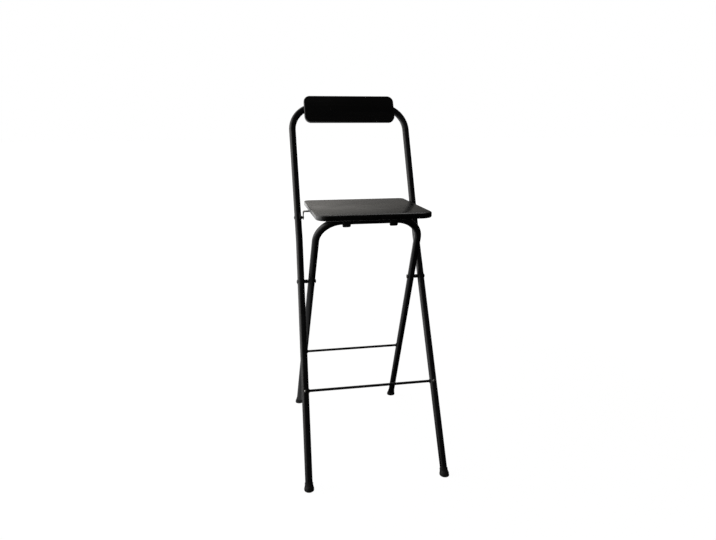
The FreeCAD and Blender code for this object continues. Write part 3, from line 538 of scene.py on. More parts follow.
@dataclass(frozen=True)
class MetalFinish(Finish):
    """Steel under a thin skin: zinc plating, or blacking that has rubbed off on the high spots."""

    bare: Color = (0.46, 0.455, 0.44)
    skin: Color = (0.36, 0.36, 0.355)
    bare_share: Span = (0.35, 0.65)
    metallic: Span = (1.0, 1.0)
    gloss: Span = (0.44, 0.60)
    patch: float = 160.0
    grain: float = 1400.0
    line_scale: float = 260.0
    lines: float = 0.6
    brush: float = 900.0
    brush_stretch: Point3 = (0.08, 1.0, 1.0)
    strength: float = 0.3
    depth: float = 0.02

    def fill(self, graph: Graph, shader: bpy.types.Node, vector: bpy.types.NodeSocket) -> None:
        """Adds the metal's nodes.

        Args:
            graph: The material's tree.
            shader: Its Principled BSDF.
            vector: The piece's own coordinates.
        """
        skin = self.effect(graph, Effects.speckle(),
                           {"Vector": vector, "Patch Scale": self.patch, "Skin Scale": self.grain})
        lines = self.effect(graph, Effects.scratches(),
                            {"Vector": vector, "Scale": self.line_scale, "Amount": self.lines})
        brushed = graph.noise(graph.stretch(vector, self.brush_stretch), self.brush, 2.0, 0.5)
        bare = graph.math("MAXIMUM", graph.ramp(skin["Value"], *self.bare_share), lines["Mask"])
        graph.link(graph.blend(bare, rgba(self.skin), rgba(self.bare)), shader.inputs["Base Color"])
        shader.inputs["Metallic"].default_value = self.metallic[1]
        if self.metallic[0] != self.metallic[1]:
            graph.link(graph.ramp(bare, 0.0, 1.0, *self.metallic), shader.inputs["Metallic"])
        graph.link(graph.ramp(brushed, 0.3, 0.7, *self.gloss), shader.inputs["Roughness"])
        self.bump(graph, shader, brushed)


@dataclass(frozen=True)
class LaminateFinish(Finish):
    """Dark wood-figured laminate with a semi-gloss face, its pores pressed in."""

    dark: Color = (0.0013, 0.0013, 0.0015)
    light: Color = (0.0046, 0.0043, 0.0043)
    pore: Color = (0.0008, 0.0008, 0.0008)
    mark: Color = (0.034, 0.033, 0.031)
    gloss: Span = (0.20, 0.27)
    dust: float = 0.10
    sway: float = 0.03
    patch: float = 12.0
    skin: float = 1500.0
    line_scale: float = 30.0
    lines: float = 0.25
    pore_share: float = 0.8
    pore_dulling: float = 0.16
    dulling: float = 0.2
    figure_height: float = 0.35
    skin_height: float = 0.25
    strength: float = 0.5
    depth: float = 0.06

    def fill(self, graph: Graph, shader: bpy.types.Node, vector: bpy.types.NodeSocket) -> None:
        """Adds the laminate's nodes.

        Args:
            graph: The material's tree.
            shader: Its Principled BSDF.
            vector: The piece's own coordinates.
        """
        grain = self.effect(graph, Effects.wood_grain(), {"Vector": vector, "Sway": self.sway})
        skin = self.effect(graph, Effects.speckle(),
                           {"Vector": vector, "Patch Scale": self.patch, "Skin Scale": self.skin})
        lines = self.effect(graph, Effects.scratches(),
                            {"Vector": vector, "Scale": self.line_scale, "Amount": self.lines})
        film = self.effect(graph, Effects.dust(), {"Vector": vector, "Amount": self.dust})
        figure = graph.blend(grain["Figure"], rgba(self.dark), rgba(self.light))
        pored = graph.blend(graph.product(grain["Pores"], self.pore_share), figure, rgba(self.pore))
        mark = graph.math("MAXIMUM", lines["Mask"], film["Mask"])
        graph.link(graph.blend(mark, pored, rgba(self.mark)), shader.inputs["Base Color"])
        shine = graph.ramp(skin["Value"], 0.0, 1.0, *self.gloss)
        rough = graph.math("ADD", shine, graph.product(grain["Pores"], self.pore_dulling))
        graph.link(graph.math("ADD", rough, graph.product(mark, self.dulling)), shader.inputs["Roughness"])
        pressed = graph.math("SUBTRACT", graph.product(grain["Figure"], self.figure_height), grain["Pores"])
        self.bump(graph, shader, graph.math("ADD", pressed, graph.product(skin["Height"], self.skin_height)))


@dataclass(frozen=True)
class PlasticFinish(CoatedFinish):
    """Moulded plastic or rubber: fine skin, uneven gloss, pale scuffs and settled dust."""

    dark: Color = (0.0050, 0.0050, 0.0051)
    light: Color = (0.0095, 0.0095, 0.0092)
    scuff: Color = (0.045, 0.044, 0.042)
    gloss: Span = (0.42, 0.56)
    patch: float = 60.0
    skin: float = 1100.0
    worn_to: float = 0.04
    wear_scale: float = 210.0
    wear: float = 0.4
    line_scale: float = 90.0
    lines: float = 0.3
    dust: float = 0.08
    depth: float = 0.06
    dulling: float = 0.25

    def fill(self, graph: Graph, shader: bpy.types.Node, vector: bpy.types.NodeSocket) -> None:
        """Adds the plastic's nodes.

        Args:
            graph: The material's tree.
            shader: Its Principled BSDF.
            vector: The piece's own coordinates.
        """
        skin, _, mark = self.coat(graph, shader, vector)
        gloss = graph.ramp(skin["Value"], 0.0, 1.0, *self.gloss)
        graph.link(graph.math("ADD", gloss, graph.product(mark, self.dulling)), shader.inputs["Roughness"])
        self.bump(graph, shader, skin["Height"])


@dataclass(frozen=True)
class ChipboardFinish(Finish):
    """Pressed wood chips, as the inside of a laminated board."""

    dark: Color = (0.17, 0.11, 0.065)
    light: Color = (0.42, 0.30, 0.19)
    chip_stretch: Point3 = (1.0, 0.6, 2.0)
    chip_scale: float = 420.0
    cloud_scale: float = 90.0
    gloss: Span = (0.75, 0.95)
    strength: float = 0.6
    depth: float = 0.2

    def fill(self, graph: Graph, shader: bpy.types.Node, vector: bpy.types.NodeSocket) -> None:
        """Adds the chips' nodes.

        Args:
            graph: The material's tree.
            shader: Its Principled BSDF.
            vector: The piece's own coordinates.
        """
        chips = graph.add("ShaderNodeTexVoronoi", {"Vector": graph.stretch(vector, self.chip_stretch),
                                                   "Scale": self.chip_scale})
        tone = graph.ramp(chips.outputs["Distance"], 0.0, 0.9)
        wide = graph.noise(vector, self.cloud_scale, 5.0, 0.6)
        mixed = graph.product(graph.math("ADD", tone, wide), 0.5)
        graph.link(graph.blend(mixed, rgba(self.dark), rgba(self.light)), shader.inputs["Base Color"])
        graph.link(graph.ramp(wide, 0.3, 0.7, *self.gloss), shader.inputs["Roughness"])
        self.bump(graph, shader, tone)


FINISHES: dict[Slot, Finish] = {
    Slot.PAINT: PaintFinish(),
    Slot.BLACK_STEEL: MetalFinish(bare=(0.16, 0.16, 0.16), skin=(0.008, 0.008, 0.009),
                                  bare_share=(0.72, 0.98), metallic=(0.0, 1.0), gloss=(0.30, 0.48)),
    Slot.PLATED_STEEL: MetalFinish(),
    Slot.LAMINATE: LaminateFinish(),
    Slot.CORE: ChipboardFinish(),
    Slot.EDGING: PlasticFinish(dark=(0.0026, 0.0025, 0.0025), light=(0.0052, 0.0050, 0.0049),
                               gloss=(0.20, 0.28), skin=700.0, depth=0.02, wear=0.0, dust=0.05),
    Slot.PLASTIC: PlasticFinish(),
    Slot.RUBBER: PlasticFinish(dark=(0.0050, 0.0050, 0.0050), light=(0.0105, 0.0100, 0.0096),
                               gloss=(0.62, 0.80), patch=90.0, skin=1500.0, depth=0.12,
                               worn_to=0.012, wear=0.55, dust=0.12),
}


def fillet(corners: Sequence[Point2], radii: Sequence[float], steps: int) -> list[Point2]:
    """Rounds the corners of an open line.

    Args:
        corners: The line's points.
        radii: A radius for each point; 0 keeps the corner, and the ends aren't rounded.
        steps: Straight pieces to an arc.

    Returns:
        The points of the rounded line.
    """
    line: list[Point2] = [corners[0]]
    for before, here, after, radius in zip(corners, corners[1:], corners[2:], radii[1:]):
        spot = Vector(here)
        back = (Vector(before) - spot).normalized()
        ahead = (Vector(after) - spot).normalized()
        if radius <= 0:
            line.append(here)
            continue
        half = back.angle(ahead) / 2
        middle = spot + (back + ahead).normalized() * (radius / math.sin(half))
        start = spot + back * (radius / math.tan(half)) - middle
        stop = spot + ahead * (radius / math.tan(half)) - middle
        turn = start.angle_signed(stop)
        for step in range(steps + 1):
            arm = start.copy()
            arm.rotate(Matrix.Rotation(-turn * step / steps, 2))
            line.append(tuple(middle + arm))
    line.append(corners[-1])
    return line


def arc(middle: Point2, radius: float, start: float, stop: float, steps: int) -> list[Point2]:
    """Points on part of a circle, from start to stop in degrees, in so many straight steps."""
    turns = [math.radians(start + (stop - start) * step / steps) for step in range(steps + 1)]
    return [(middle[0] + radius * math.cos(turn), middle[1] + radius * math.sin(turn)) for turn in turns]


def placed(name: str, data: bpy.types.ID) -> bpy.types.Object:
    """Puts data into the scene as an object at the origin.

    Args:
        name: The object's name.
        data: Its mesh, lamp or camera.

    Returns:
        The object.
    """
    item = bpy.data.objects.new(name, data)
    bpy.context.scene.collection.objects.link(item)
    return item


def mesh_object(name: str, mesh: bmesh.types.BMesh, sharp: float = CRISP_ANGLE) -> bpy.types.Object:
    """Turns a mesh in millimetres into an object in metres.

    Args:
        name: The piece's name.
        mesh: The mesh, which is used up.
        sharp: Edges that bend more than this many degrees stay crisp.

    Returns:
        The object, at the origin.
    """
    bmesh.ops.recalc_face_normals(mesh, faces=mesh.faces)
    bmesh.ops.scale(mesh, vec=(MM, MM, MM), verts=mesh.verts)
    data = bpy.data.meshes.new(name)
    mesh.to_mesh(data)
    mesh.free()
    shade(data, sharp)
    return placed(name, data)


def shade(data: bpy.types.Mesh, sharp: float) -> None:
    """Shades a mesh smooth, apart from its sharp edges.

    Args:
        data: The mesh.
        sharp: The angle in degrees past which an edge is crisp.
    """
    data.polygons.foreach_set("use_smooth", [True] * len(data.polygons))
    data.set_sharp_from_angle(angle=math.radians(sharp))
    data.update()


def freeze(piece: bpy.types.Object) -> None:
    """Applies a piece's modifiers, which leaves it a plain mesh.

    Args:
        piece: The piece, with its modifiers.
    """
    bpy.context.view_layer.update()
    shape = piece.evaluated_get(bpy.context.evaluated_depsgraph_get())
    data = bpy.data.meshes.new_from_object(shape)
    data.name = piece.name
    piece.modifiers.clear()
    piece.data = data
    shade(data, CRISP_ANGLE)


def soften(piece: bpy.types.Object, width: float, segments: int, angle: float) -> None:
    """Adds a bevel along a piece's sharp edges.

    Args:
        piece: The piece.
        width: The bevel's width.
        segments: Its faces across.
        angle: Edges that bend more than this many degrees get it.
    """
    rounded = piece.modifiers.new("edges", "BEVEL")
    rounded.width = width * MM
    rounded.segments = segments
    rounded.limit_method = "ANGLE"
    rounded.angle_limit = math.radians(angle)


def lathe(profile: Sequence[Point2], turn: Matrix, sides: int) -> bmesh.types.BMesh:
    """Turns an outline round its axis.

    Args:
        profile: Radius and height of each point, in order.
        turn: Where the axis goes, in millimetres.
        sides: Faces round the axis.

    Returns:
        The mesh.
    """
    mesh = bmesh.new()
    rings = []
    for radius, height in profile:
        count = 1 if radius < SAME_POINT else sides
        ring = []
        for side in range(count):
            angle = math.tau * side / sides
            spot = Vector((radius * math.cos(angle), radius * math.sin(angle), height))
            ring.append(mesh.verts.new(turn @ spot))
        rings.append(ring)
    for lower, upper in zip(rings, rings[1:]):
        join_rings(mesh, lower, upper)
    return mesh


def join_rings(mesh: bmesh.types.BMesh, lower: Sequence[bmesh.types.BMVert],
               upper: Sequence[bmesh.types.BMVert]) -> None:
    """Fills between two closed rings, or a ring and a pole.

    Args:
        mesh: The mesh that has them.
        lower: First ring.
        upper: Second ring.
    """
    count = max(len(lower), len(upper))
    for side in range(count):
        following = (side + 1) % count
        corners = [lower[side % len(lower)], lower[following % len(lower)],
                   upper[following % len(upper)], upper[side % len(upper)]]
        unique = list(dict.fromkeys(corners))
        if len(unique) > 2:
            mesh.faces.new(unique)


@dataclass(frozen=True)
class Slope:
    """A frame's leaning plane, from its feet's line on the floor."""

    foot_y: float
    lean: float

    def point(self, x: float, along: float, forward: float = 0.0) -> Vector:
        """A point across the stool and up the slope, on its plane or forward of it."""
        sine, cosine = math.sin(math.radians(self.lean)), math.cos(math.radians(self.lean))
        return Vector((x, self.foot_y + along * sine - forward * cosine, along * cosine + forward * sine))

    def up(self, splay: float = 0.0) -> Vector:
        """Direction up a leg that leans to +X by splay degrees."""
        return (self.point(math.tan(math.radians(splay)), 1.0) - self.point(0.0, 0.0)).normalized()

    def ahead(self) -> Vector:
        """Direction out of the plane, towards the front."""
        return (self.point(0.0, 0.0, 1.0) - self.point(0.0, 0.0)).normalized()


def aimed(spot: Vector, axis: Vector, side: Vector) -> Matrix:
    """A placement with its Z along an axis.

    Args:
        spot: Its origin.
        axis: Where its Z points.
        side: Roughly where its X points.

    Returns:
        The placement.
    """
    up = axis.normalized()
    across = (side - up * side.dot(up)).normalized()
    turn = Matrix((across, up.cross(across), up)).transposed().to_4x4()
    return Matrix.Translation(spot) @ turn


class Workshop:
    """Keeps the materials and the geometry trees, and dresses finished pieces."""

    def __init__(self) -> None:
        """Starts with nothing made."""
        self._materials: dict[Slot, bpy.types.Material] = {}
        self._trees: dict[str, bpy.types.NodeTree] = {}

    def material(self, slot: Slot) -> bpy.types.Material:
        """The material of a slot, made when it is first asked for.

        Args:
            slot: The finish that is wanted.

        Returns:
            Its material.
        """
        if slot not in self._materials:
            self._materials[slot] = FINISHES[slot].material(slot.value)
        return self._materials[slot]

    def coat(self, data: bpy.types.Mesh, slot: Slot) -> None:
        """Gives a mesh one finish."""
        data.materials.clear()
        data.materials.append(self.material(slot))

    def dress(self, piece: bpy.types.Object, body: Body, slot: Slot, *nodes: str) -> None:
        """Gives a piece its material, its body and the nodes that it stands for.

        Args:
            piece: The piece.
            body: The body that it moves with.
            slot: Its finish.
            nodes: The nodes that it replaces.
        """
        self.coat(piece.data, slot)
        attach(piece, body.value)
        if nodes:
            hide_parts(*nodes)
        log.info("%s: %d faces on %s in %s", piece.name, len(piece.data.polygons), body.value, slot.value)

    def keep(self, frame: dict[str, Any], node: str, slot: Slot) -> None:
        """Gives a node that stays its material."""
        self.coat(frame["nodes"][node].data, slot)
        log.info("%s: kept, in %s", node, slot.value)

    def tree(self, name: str, inputs: dict[str, Any],
             fill: Callable[[Graph, Any], bpy.types.NodeSocket]) -> bpy.types.NodeTree:
        """Makes a geometry tree once; it ends in Realize Instances and Set Material.

        Args:
            name: The tree's name.
            inputs: Value of each input after the geometry, by name.
            fill: Adds the tree's nodes and returns its last geometry.

        Returns:
            The tree.
        """
        if name in self._trees:
            return self._trees[name]
        tree = bpy.data.node_groups.new(name, "GeometryNodeTree")
        tree.interface.new_socket("Geometry", in_out="INPUT", socket_type="NodeSocketGeometry")
        declare(tree, inputs)
        tree.interface.new_socket("Finish", in_out="INPUT", socket_type="NodeSocketMaterial")
        tree.interface.new_socket("Geometry", in_out="OUTPUT", socket_type="NodeSocketGeometry")
        graph = Graph(tree)
        entry = graph.add("NodeGroupInput").outputs
        shaped = fill(graph, entry)
        real = graph.add("GeometryNodeRealizeInstances", {0: shaped})
        painted = graph.add("GeometryNodeSetMaterial",
                            {"Geometry": real.outputs[0], "Material": entry["Finish"]})
        graph.add("NodeGroupOutput", {0: painted.outputs[0]})
        self._trees[name] = tree
        return tree

    def grown(self, carrier: bpy.types.Mesh, tree: bpy.types.NodeTree, body: Body, slot: Slot,
              values: dict[str, Any], *nodes: str) -> None:
        """Runs a geometry tree on a carrier mesh, keeps the plain result and dresses it.

        Args:
            carrier: The points or line that the tree works on, in metres, under the piece's name.
            tree: The tree.
            body: The body that the piece moves with.
            slot: Its finish.
            values: The tree's inputs by name.
            nodes: The nodes that it replaces.
        """
        piece = placed(carrier.name, carrier)
        modifier = piece.modifiers.new(piece.name, "NODES")
        modifier.node_group = tree
        sockets = {item.name: item.identifier for item in tree.interface.items_tree
                   if item.item_type == "SOCKET" and item.in_out == "INPUT"}
        for label, value in {**values, "Finish": self.material(slot)}.items():
            modifier[sockets[label]] = value
        freeze(piece)
        self.dress(piece, body, slot, *nodes)


def line_mesh(name: str, points: Sequence[Vector]) -> bpy.types.Mesh:
    """A line as a mesh in metres.

    Args:
        name: Its name.
        points: The points, in millimetres.

    Returns:
        The mesh.
    """
    data = bpy.data.meshes.new(name)
    edges = [(number, number + 1) for number in range(len(points) - 1)]
    data.from_pydata([point * MM for point in points], edges, [])
    return data


def spot_mesh(name: str, spots: Sequence[Spot]) -> bpy.types.Mesh:
    """Points with directions, for a tree to put instances on.

    Args:
        name: Its name.
        spots: Place in millimetres, direction of Z and direction of X for each.

    Returns:
        The mesh, with the directions as the attributes aim and side.
    """
    data = bpy.data.meshes.new(name)
    data.from_pydata([place * MM for place, _, _ in spots], [], [])
    for number, label in ((1, "aim"), (2, "side")):
        attribute = data.attributes.new(label, "FLOAT_VECTOR", "POINT")
        for index, spot in enumerate(spots):
            attribute.data[index].vector = spot[number]
    return data


def on_spots(graph: Graph, entry: Any, shape: bpy.types.NodeSocket) -> bpy.types.NodeSocket:
    """Puts a shape on every point, turned by the point's aim and side.

    Args:
        graph: The geometry tree.
        entry: The tree's inputs.
        shape: The shape.

    Returns:
        The instances' socket.
    """
    aim, side = [graph.add("GeometryNodeInputNamedAttribute", {"Name": label},
                           data_type="FLOAT_VECTOR").outputs[0] for label in ("aim", "side")]
    first = graph.add("FunctionNodeAlignRotationToVector", {"Vector": aim}, axis="Z")
    last = graph.add("FunctionNodeAlignRotationToVector", {"Rotation": first.outputs[0], "Vector": side},
                     axis="X", pivot_axis="Z")
    return graph.add("GeometryNodeInstanceOnPoints", {"Points": entry["Geometry"], "Instance": shape,
                                                      "Rotation": last.outputs[0]}).outputs[0]


def tube_tree(workshop: Workshop) -> bpy.types.NodeTree:
    """Round bar along a line.

    Args:
        workshop: Keeper of the trees.

    Returns:
        The tree, with Radius and Sides.
    """
    def fill(graph: Graph, entry: Any) -> bpy.types.NodeSocket:
        """Adds the tree's nodes.

        Args:
            graph: The geometry tree.
            entry: Its inputs.

        Returns:
            The last geometry.
        """
        line = graph.add("GeometryNodeMeshToCurve", {0: entry["Geometry"]})
        ring = graph.add("GeometryNodeCurvePrimitiveCircle",
                         {"Resolution": entry["Sides"], "Radius": entry["Radius"]})
        swept = graph.add("GeometryNodeCurveToMesh", {"Curve": line.outputs[0],
                                                      "Profile Curve": ring.outputs[0],
                                                      "Fill Caps": True})
        return swept.outputs[0]

    return workshop.tree("tube along a line", {"Radius": 0.01, "Sides": 40}, fill)


def fastener_tree(workshop: Workshop) -> bpy.types.NodeTree:
    """Domed heads with shanks, plain or with a cross recess, one on each point.

    Args:
        workshop: Keeper of the trees.

    Returns:
        The tree, with the head's and shank's sizes.
    """
    def fill(graph: Graph, entry: Any) -> bpy.types.NodeSocket:
        """Adds the tree's nodes.

        Args:
            graph: The geometry tree.
            entry: Its inputs.

        Returns:
            The last geometry.
        """
        head = graph.add("GeometryNodeMeshCylinder",
                         {"Vertices": 36, "Side Segments": 1, "Fill Segments": 9,
                          "Radius": entry["Head Radius"], "Depth": entry["Rim Height"]})
        place = graph.add("GeometryNodeInputPosition").outputs[0]
        square = graph.math("ADD", graph.math("POWER", graph.part(place, 0), 2.0),
                            graph.math("POWER", graph.part(place, 1), 2.0))
        share = graph.math("DIVIDE", square, graph.math("POWER", entry["Head Radius"], 2.0))
        rise = graph.product(graph.math("SUBTRACT", 1.0, graph.math("MINIMUM", share, 1.0)),
                             entry["Dome Height"])
        domed = graph.add("GeometryNodeSetPosition", {"Geometry": head.outputs["Mesh"],
                                                      "Selection": head.outputs["Top"],
                                                      "Offset": graph.lifted(rise)})
        half = graph.math("DIVIDE", entry["Rim Height"], 2.0)
        long = graph.math("ADD", entry["Shank Length"], half)
        shank = graph.add("GeometryNodeMeshCylinder",
                          {"Vertices": 24, "Side Segments": 1, "Fill Segments": 1,
                           "Radius": entry["Shank Radius"], "Depth": long})
        down = graph.math("SUBTRACT", half, graph.math("DIVIDE", long, 2.0))
        whole = graph.add("GeometryNodeMeshBoolean", {1: graph.raised(domed.outputs[0], half)},
                          operation="UNION", solver="EXACT")
        graph.link(graph.raised(shank.outputs["Mesh"], down), whole.inputs[1])
        top = graph.math("ADD", entry["Rim Height"], entry["Dome Height"])
        cross = graph.add("GeometryNodeMeshBoolean", {0: whole.outputs[0]},
                          operation="DIFFERENCE", solver="EXACT")
        for width, depth in (("Slot Length", "Slot Width"), ("Slot Width", "Slot Length")):
            size = graph.add("ShaderNodeCombineXYZ", {0: entry[width], 1: entry[depth],
                                                      2: graph.product(entry["Slot Depth"], 2.0)})
            bar = graph.add("GeometryNodeMeshCube", {"Size": size.outputs[0]})
            graph.link(graph.raised(bar.outputs[0], top), cross.inputs[1])
        chosen = graph.add("GeometryNodeSwitch", {0: entry["Cross Recess"], 1: whole.outputs[0],
                                                  2: cross.outputs[0]}, input_type="GEOMETRY")
        return on_spots(graph, entry, chosen.outputs[0])

    inputs = {"Head Radius": 0.004, "Rim Height": 0.001, "Dome Height": 0.001, "Shank Radius": 0.002,
              "Shank Length": 0.01, "Cross Recess": False, "Slot Length": 0.004, "Slot Width": 0.0008,
              "Slot Depth": 0.0012}
    return workshop.tree("fasteners on points", inputs, fill)


def bead_tree(workshop: Workshop) -> bpy.types.NodeTree:
    """Rippled weld beads round a bar where it meets a tube, one on each point.

    Args:
        workshop: Keeper of the trees.

    Returns:
        The tree, with the bar's, tube's and bead's sizes.
    """
    def fill(graph: Graph, entry: Any) -> bpy.types.NodeSocket:
        """Adds the tree's nodes.

        Args:
            graph: The geometry tree.
            entry: Its inputs.

        Returns:
            The last geometry.
        """
        around = graph.math("ADD", entry["Bar Radius"], graph.product(entry["Bead Radius"], entry["Proud"]))
        ring = graph.add("GeometryNodeCurvePrimitiveCircle", {"Resolution": 96, "Radius": around})
        aside = graph.part(graph.add("GeometryNodeInputPosition").outputs[0], 1)
        reach = graph.math("SUBTRACT", graph.math("POWER", entry["Tube Radius"], 2.0),
                           graph.math("POWER", aside, 2.0))
        sink = graph.math("SUBTRACT", graph.math("SQRT", reach), entry["Tube Radius"])
        saddle = graph.add("GeometryNodeSetPosition", {"Geometry": ring.outputs[0],
                                                       "Offset": graph.lifted(sink)})
        factor = graph.add("GeometryNodeSplineParameter").outputs["Factor"]
        wave = graph.math("SINE", graph.product(factor, graph.product(entry["Ripples"], math.tau)))
        scale = graph.math("ADD", graph.product(wave, entry["Ripple Share"]), 1.0)
        bead = graph.add("GeometryNodeCurvePrimitiveCircle",
                         {"Resolution": 12, "Radius": entry["Bead Radius"]})
        swept = graph.add("GeometryNodeCurveToMesh", {"Curve": saddle.outputs[0],
                                                      "Profile Curve": bead.outputs[0], "Scale": scale})
        return on_spots(graph, entry, swept.outputs[0])

    inputs = {"Bar Radius": 0.0035, "Tube Radius": 0.0095, "Bead Radius": 0.0015, "Proud": 0.35,
              "Ripples": 15, "Ripple Share": 0.09}
    return workshop.tree("weld beads on points", inputs, fill)


@dataclass(frozen=True)
class Fasteners:
    """Screws or rivets of one kind."""

    name: str
    body: Body
    slot: Slot
    head: float
    rim: float
    dome: float
    shank: float
    length: float
    recess: Recess = Recess.PLAIN
    slot_length: float = 1.15
    slot_width: float = 0.24
    slot_depth: float = 0.9

    def build(self, workshop: Workshop, spots: Sequence[Spot], *nodes: str) -> None:
        """Makes them all as one piece.

        Args:
            workshop: Keeper of the trees.
            spots: Underside of each head, where it faces, and its sideways direction.
            nodes: The nodes that they replace.
        """
        values = {"Head Radius": self.head * MM, "Rim Height": self.rim * MM, "Dome Height": self.dome * MM,
                  "Shank Radius": self.shank * MM, "Shank Length": self.length * MM,
                  "Cross Recess": self.recess.value, "Slot Length": self.head * self.slot_length * MM,
                  "Slot Width": self.head * self.slot_width * MM,
                  "Slot Depth": self.dome * self.slot_depth * MM}
        workshop.grown(spot_mesh(self.name, spots), fastener_tree(workshop), self.body, self.slot,
                       values, *nodes)


@dataclass(frozen=True)
class Legs:
    """A frame's two legs: their body, the end they stand at, their plane and their feet's places."""

    body: Body
    end: str
    slope: Slope
    foot_half: float
    splay: float

    def up(self, side: int) -> Vector:
        """Direction up the leg on a side."""
        return self.slope.up(-side * self.splay)


@dataclass(frozen=True)
class TubeFrame:
    """A bent tube, an inverted U on two feet."""

    legs: Legs
    name: str
    start: float
    corners: tuple[Point2, ...]
    radii: tuple[float, ...]
    sides: int = 48
    steps: int = 28

    def route(self) -> list[Vector]:
        """The tube's middle line from the left foot to the right one.

        Returns:
            Its points.
        """
        foot, second = (-self.legs.foot_half, 0.0), self.corners[0]
        share = (self.start - foot[1]) / (second[1] - foot[1])
        left = [(foot[0] + (second[0] - foot[0]) * share, self.start), *self.corners]
        right = [(-x, along) for x, along in reversed(left)]
        radii = [0.0, *self.radii, *reversed(self.radii), 0.0]
        return [self.legs.slope.point(x, along) for x, along in fillet(left + right, radii, self.steps)]

    def build(self, workshop: Workshop) -> None:
        """Makes the tube."""
        workshop.grown(line_mesh(self.name, self.route()), tube_tree(workshop), self.legs.body, Slot.PAINT,
                       {"Radius": TUBE_RADIUS * MM, "Sides": self.sides}, f"{self.legs.body.value}_tube")


@dataclass(frozen=True)
class FootBar:
    """A thin bar between two legs, welded where it enters them."""

    legs: Legs
    height: float
    radius: float = 3.5
    overrun: float = 2.8
    bead: float = 1.7
    ripples: int = 15
    sides: int = 28
    steps: int = 24

    def place(self) -> Point2:
        """How far up the slope the bar is, and how far from the centre the legs' middles are there."""
        along = self.height / math.cos(math.radians(self.legs.slope.lean))
        return along, self.legs.foot_half - along * math.tan(math.radians(self.legs.splay))

    def build(self, workshop: Workshop) -> None:
        """Makes the bar and its weld beads.

        Args:
            workshop: Keeper of the trees.
        """
        legs, name, (along, half) = self.legs, f"{self.legs.end}_rest", self.place()
        reach = half + self.overrun
        stations = [-reach + 2 * reach * step / self.steps for step in range(self.steps + 1)]
        line = [legs.slope.point(x, along) for x in stations]
        workshop.grown(line_mesh(name, line), tube_tree(workshop), legs.body, Slot.PAINT,
                       {"Radius": self.radius * MM, "Sides": self.sides}, f"{legs.end}_foot_bar")
        spots = [(legs.slope.point(side * (half - TUBE_RADIUS), along), Vector((-side, 0.0, 0.0)),
                  legs.up(side)) for side, _ in SIDES]
        values = {"Bar Radius": self.radius * MM, "Tube Radius": TUBE_RADIUS * MM,
                  "Bead Radius": self.bead * MM, "Ripples": self.ripples}
        workshop.grown(spot_mesh(f"{name}_welds", spots), bead_tree(workshop), legs.body, Slot.PAINT,
                       values)


@dataclass(frozen=True)
class Ferrules:
    """The two flared rubber feet of a frame."""

    legs: Legs
    lip_radius: float = 10.8
    foot_radius: float = 12.7
    length: float = 18.0
    lip: float = 3.5
    bulge: float = 5.0
    sole: float = 3.2
    below: float = 2.0
    groove: float = 0.35
    groove_half: float = 0.3
    lip_round: float = 0.55
    mouth: float = 0.25
    play: float = 0.02
    flare_steps: int = 10
    lip_steps: int = 5
    around: int = 72
    crisp: float = 50.0

    def profile(self) -> list[Point2]:
        """Outline from below the floor, up the outside and down to the tube's end.

        Returns:
            Radius and height of its points.
        """
        neck = self.length - self.lip
        rise = neck - self.bulge
        flare = self.foot_radius - self.lip_radius
        curve = (rise ** 2 + flare ** 2) / (2 * flare)
        bottom = -self.foot_radius - self.below
        sides = [(0.0, bottom), (self.foot_radius, bottom), (self.foot_radius, self.bulge)]
        for step in range(1, self.flare_steps + 1):
            height = self.bulge + rise * step / self.flare_steps
            reach = curve - math.sqrt(curve ** 2 - (neck - height) ** 2)
            sides.append((self.lip_radius + reach, height))
        sides[-1] = (self.lip_radius, neck - self.groove_half)
        grooved, bend = self.lip_radius - self.groove, self.lip_round
        sides += [(grooved, neck), (grooved, neck + self.groove_half),
                  (self.lip_radius, neck + 2 * self.groove_half),
                  *arc((self.lip_radius - bend, self.length - bend), bend, 0.0, 90.0, self.lip_steps)]
        inner = TUBE_RADIUS - self.play
        end = self.sole + TUBE_RADIUS * math.tan(math.radians(abs(self.legs.slope.lean)))
        return sides + [(inner + self.mouth, self.length), (inner, self.length - self.groove_half),
                        (inner, end), (0.0, end)]

    def build(self, workshop: Workshop) -> None:
        """Makes both feet, cut flat where they stand.

        Args:
            workshop: Dresses them.
        """
        legs = self.legs
        for side, word in SIDES:
            foot = Vector((side * legs.foot_half, legs.slope.foot_y, 0.0))
            turn = aimed(foot, legs.up(side), Vector((0.0, -1.0, 0.0)))
            mesh = lathe(self.profile(), turn, self.around)
            cut = bmesh.ops.bisect_plane(mesh, geom=[*mesh.verts, *mesh.edges, *mesh.faces],
                                         plane_co=(0.0, 0.0, 0.0), plane_no=UP, clear_inner=True)
            rim = [item for item in cut["geom_cut"] if isinstance(item, bmesh.types.BMEdge)]
            bmesh.ops.contextual_create(mesh, geom=rim)
            bmesh.ops.recalc_face_normals(mesh, faces=mesh.faces)
            bmesh.ops.bevel(mesh, geom=rim, offset=self.groove_half, segments=2, affect="EDGES", profile=0.5)
            piece = mesh_object(f"{legs.end}_ferrule_{word}", mesh, self.crisp)
            workshop.dress(piece, legs.body, Slot.RUBBER, f"{legs.end}_foot_{word}")


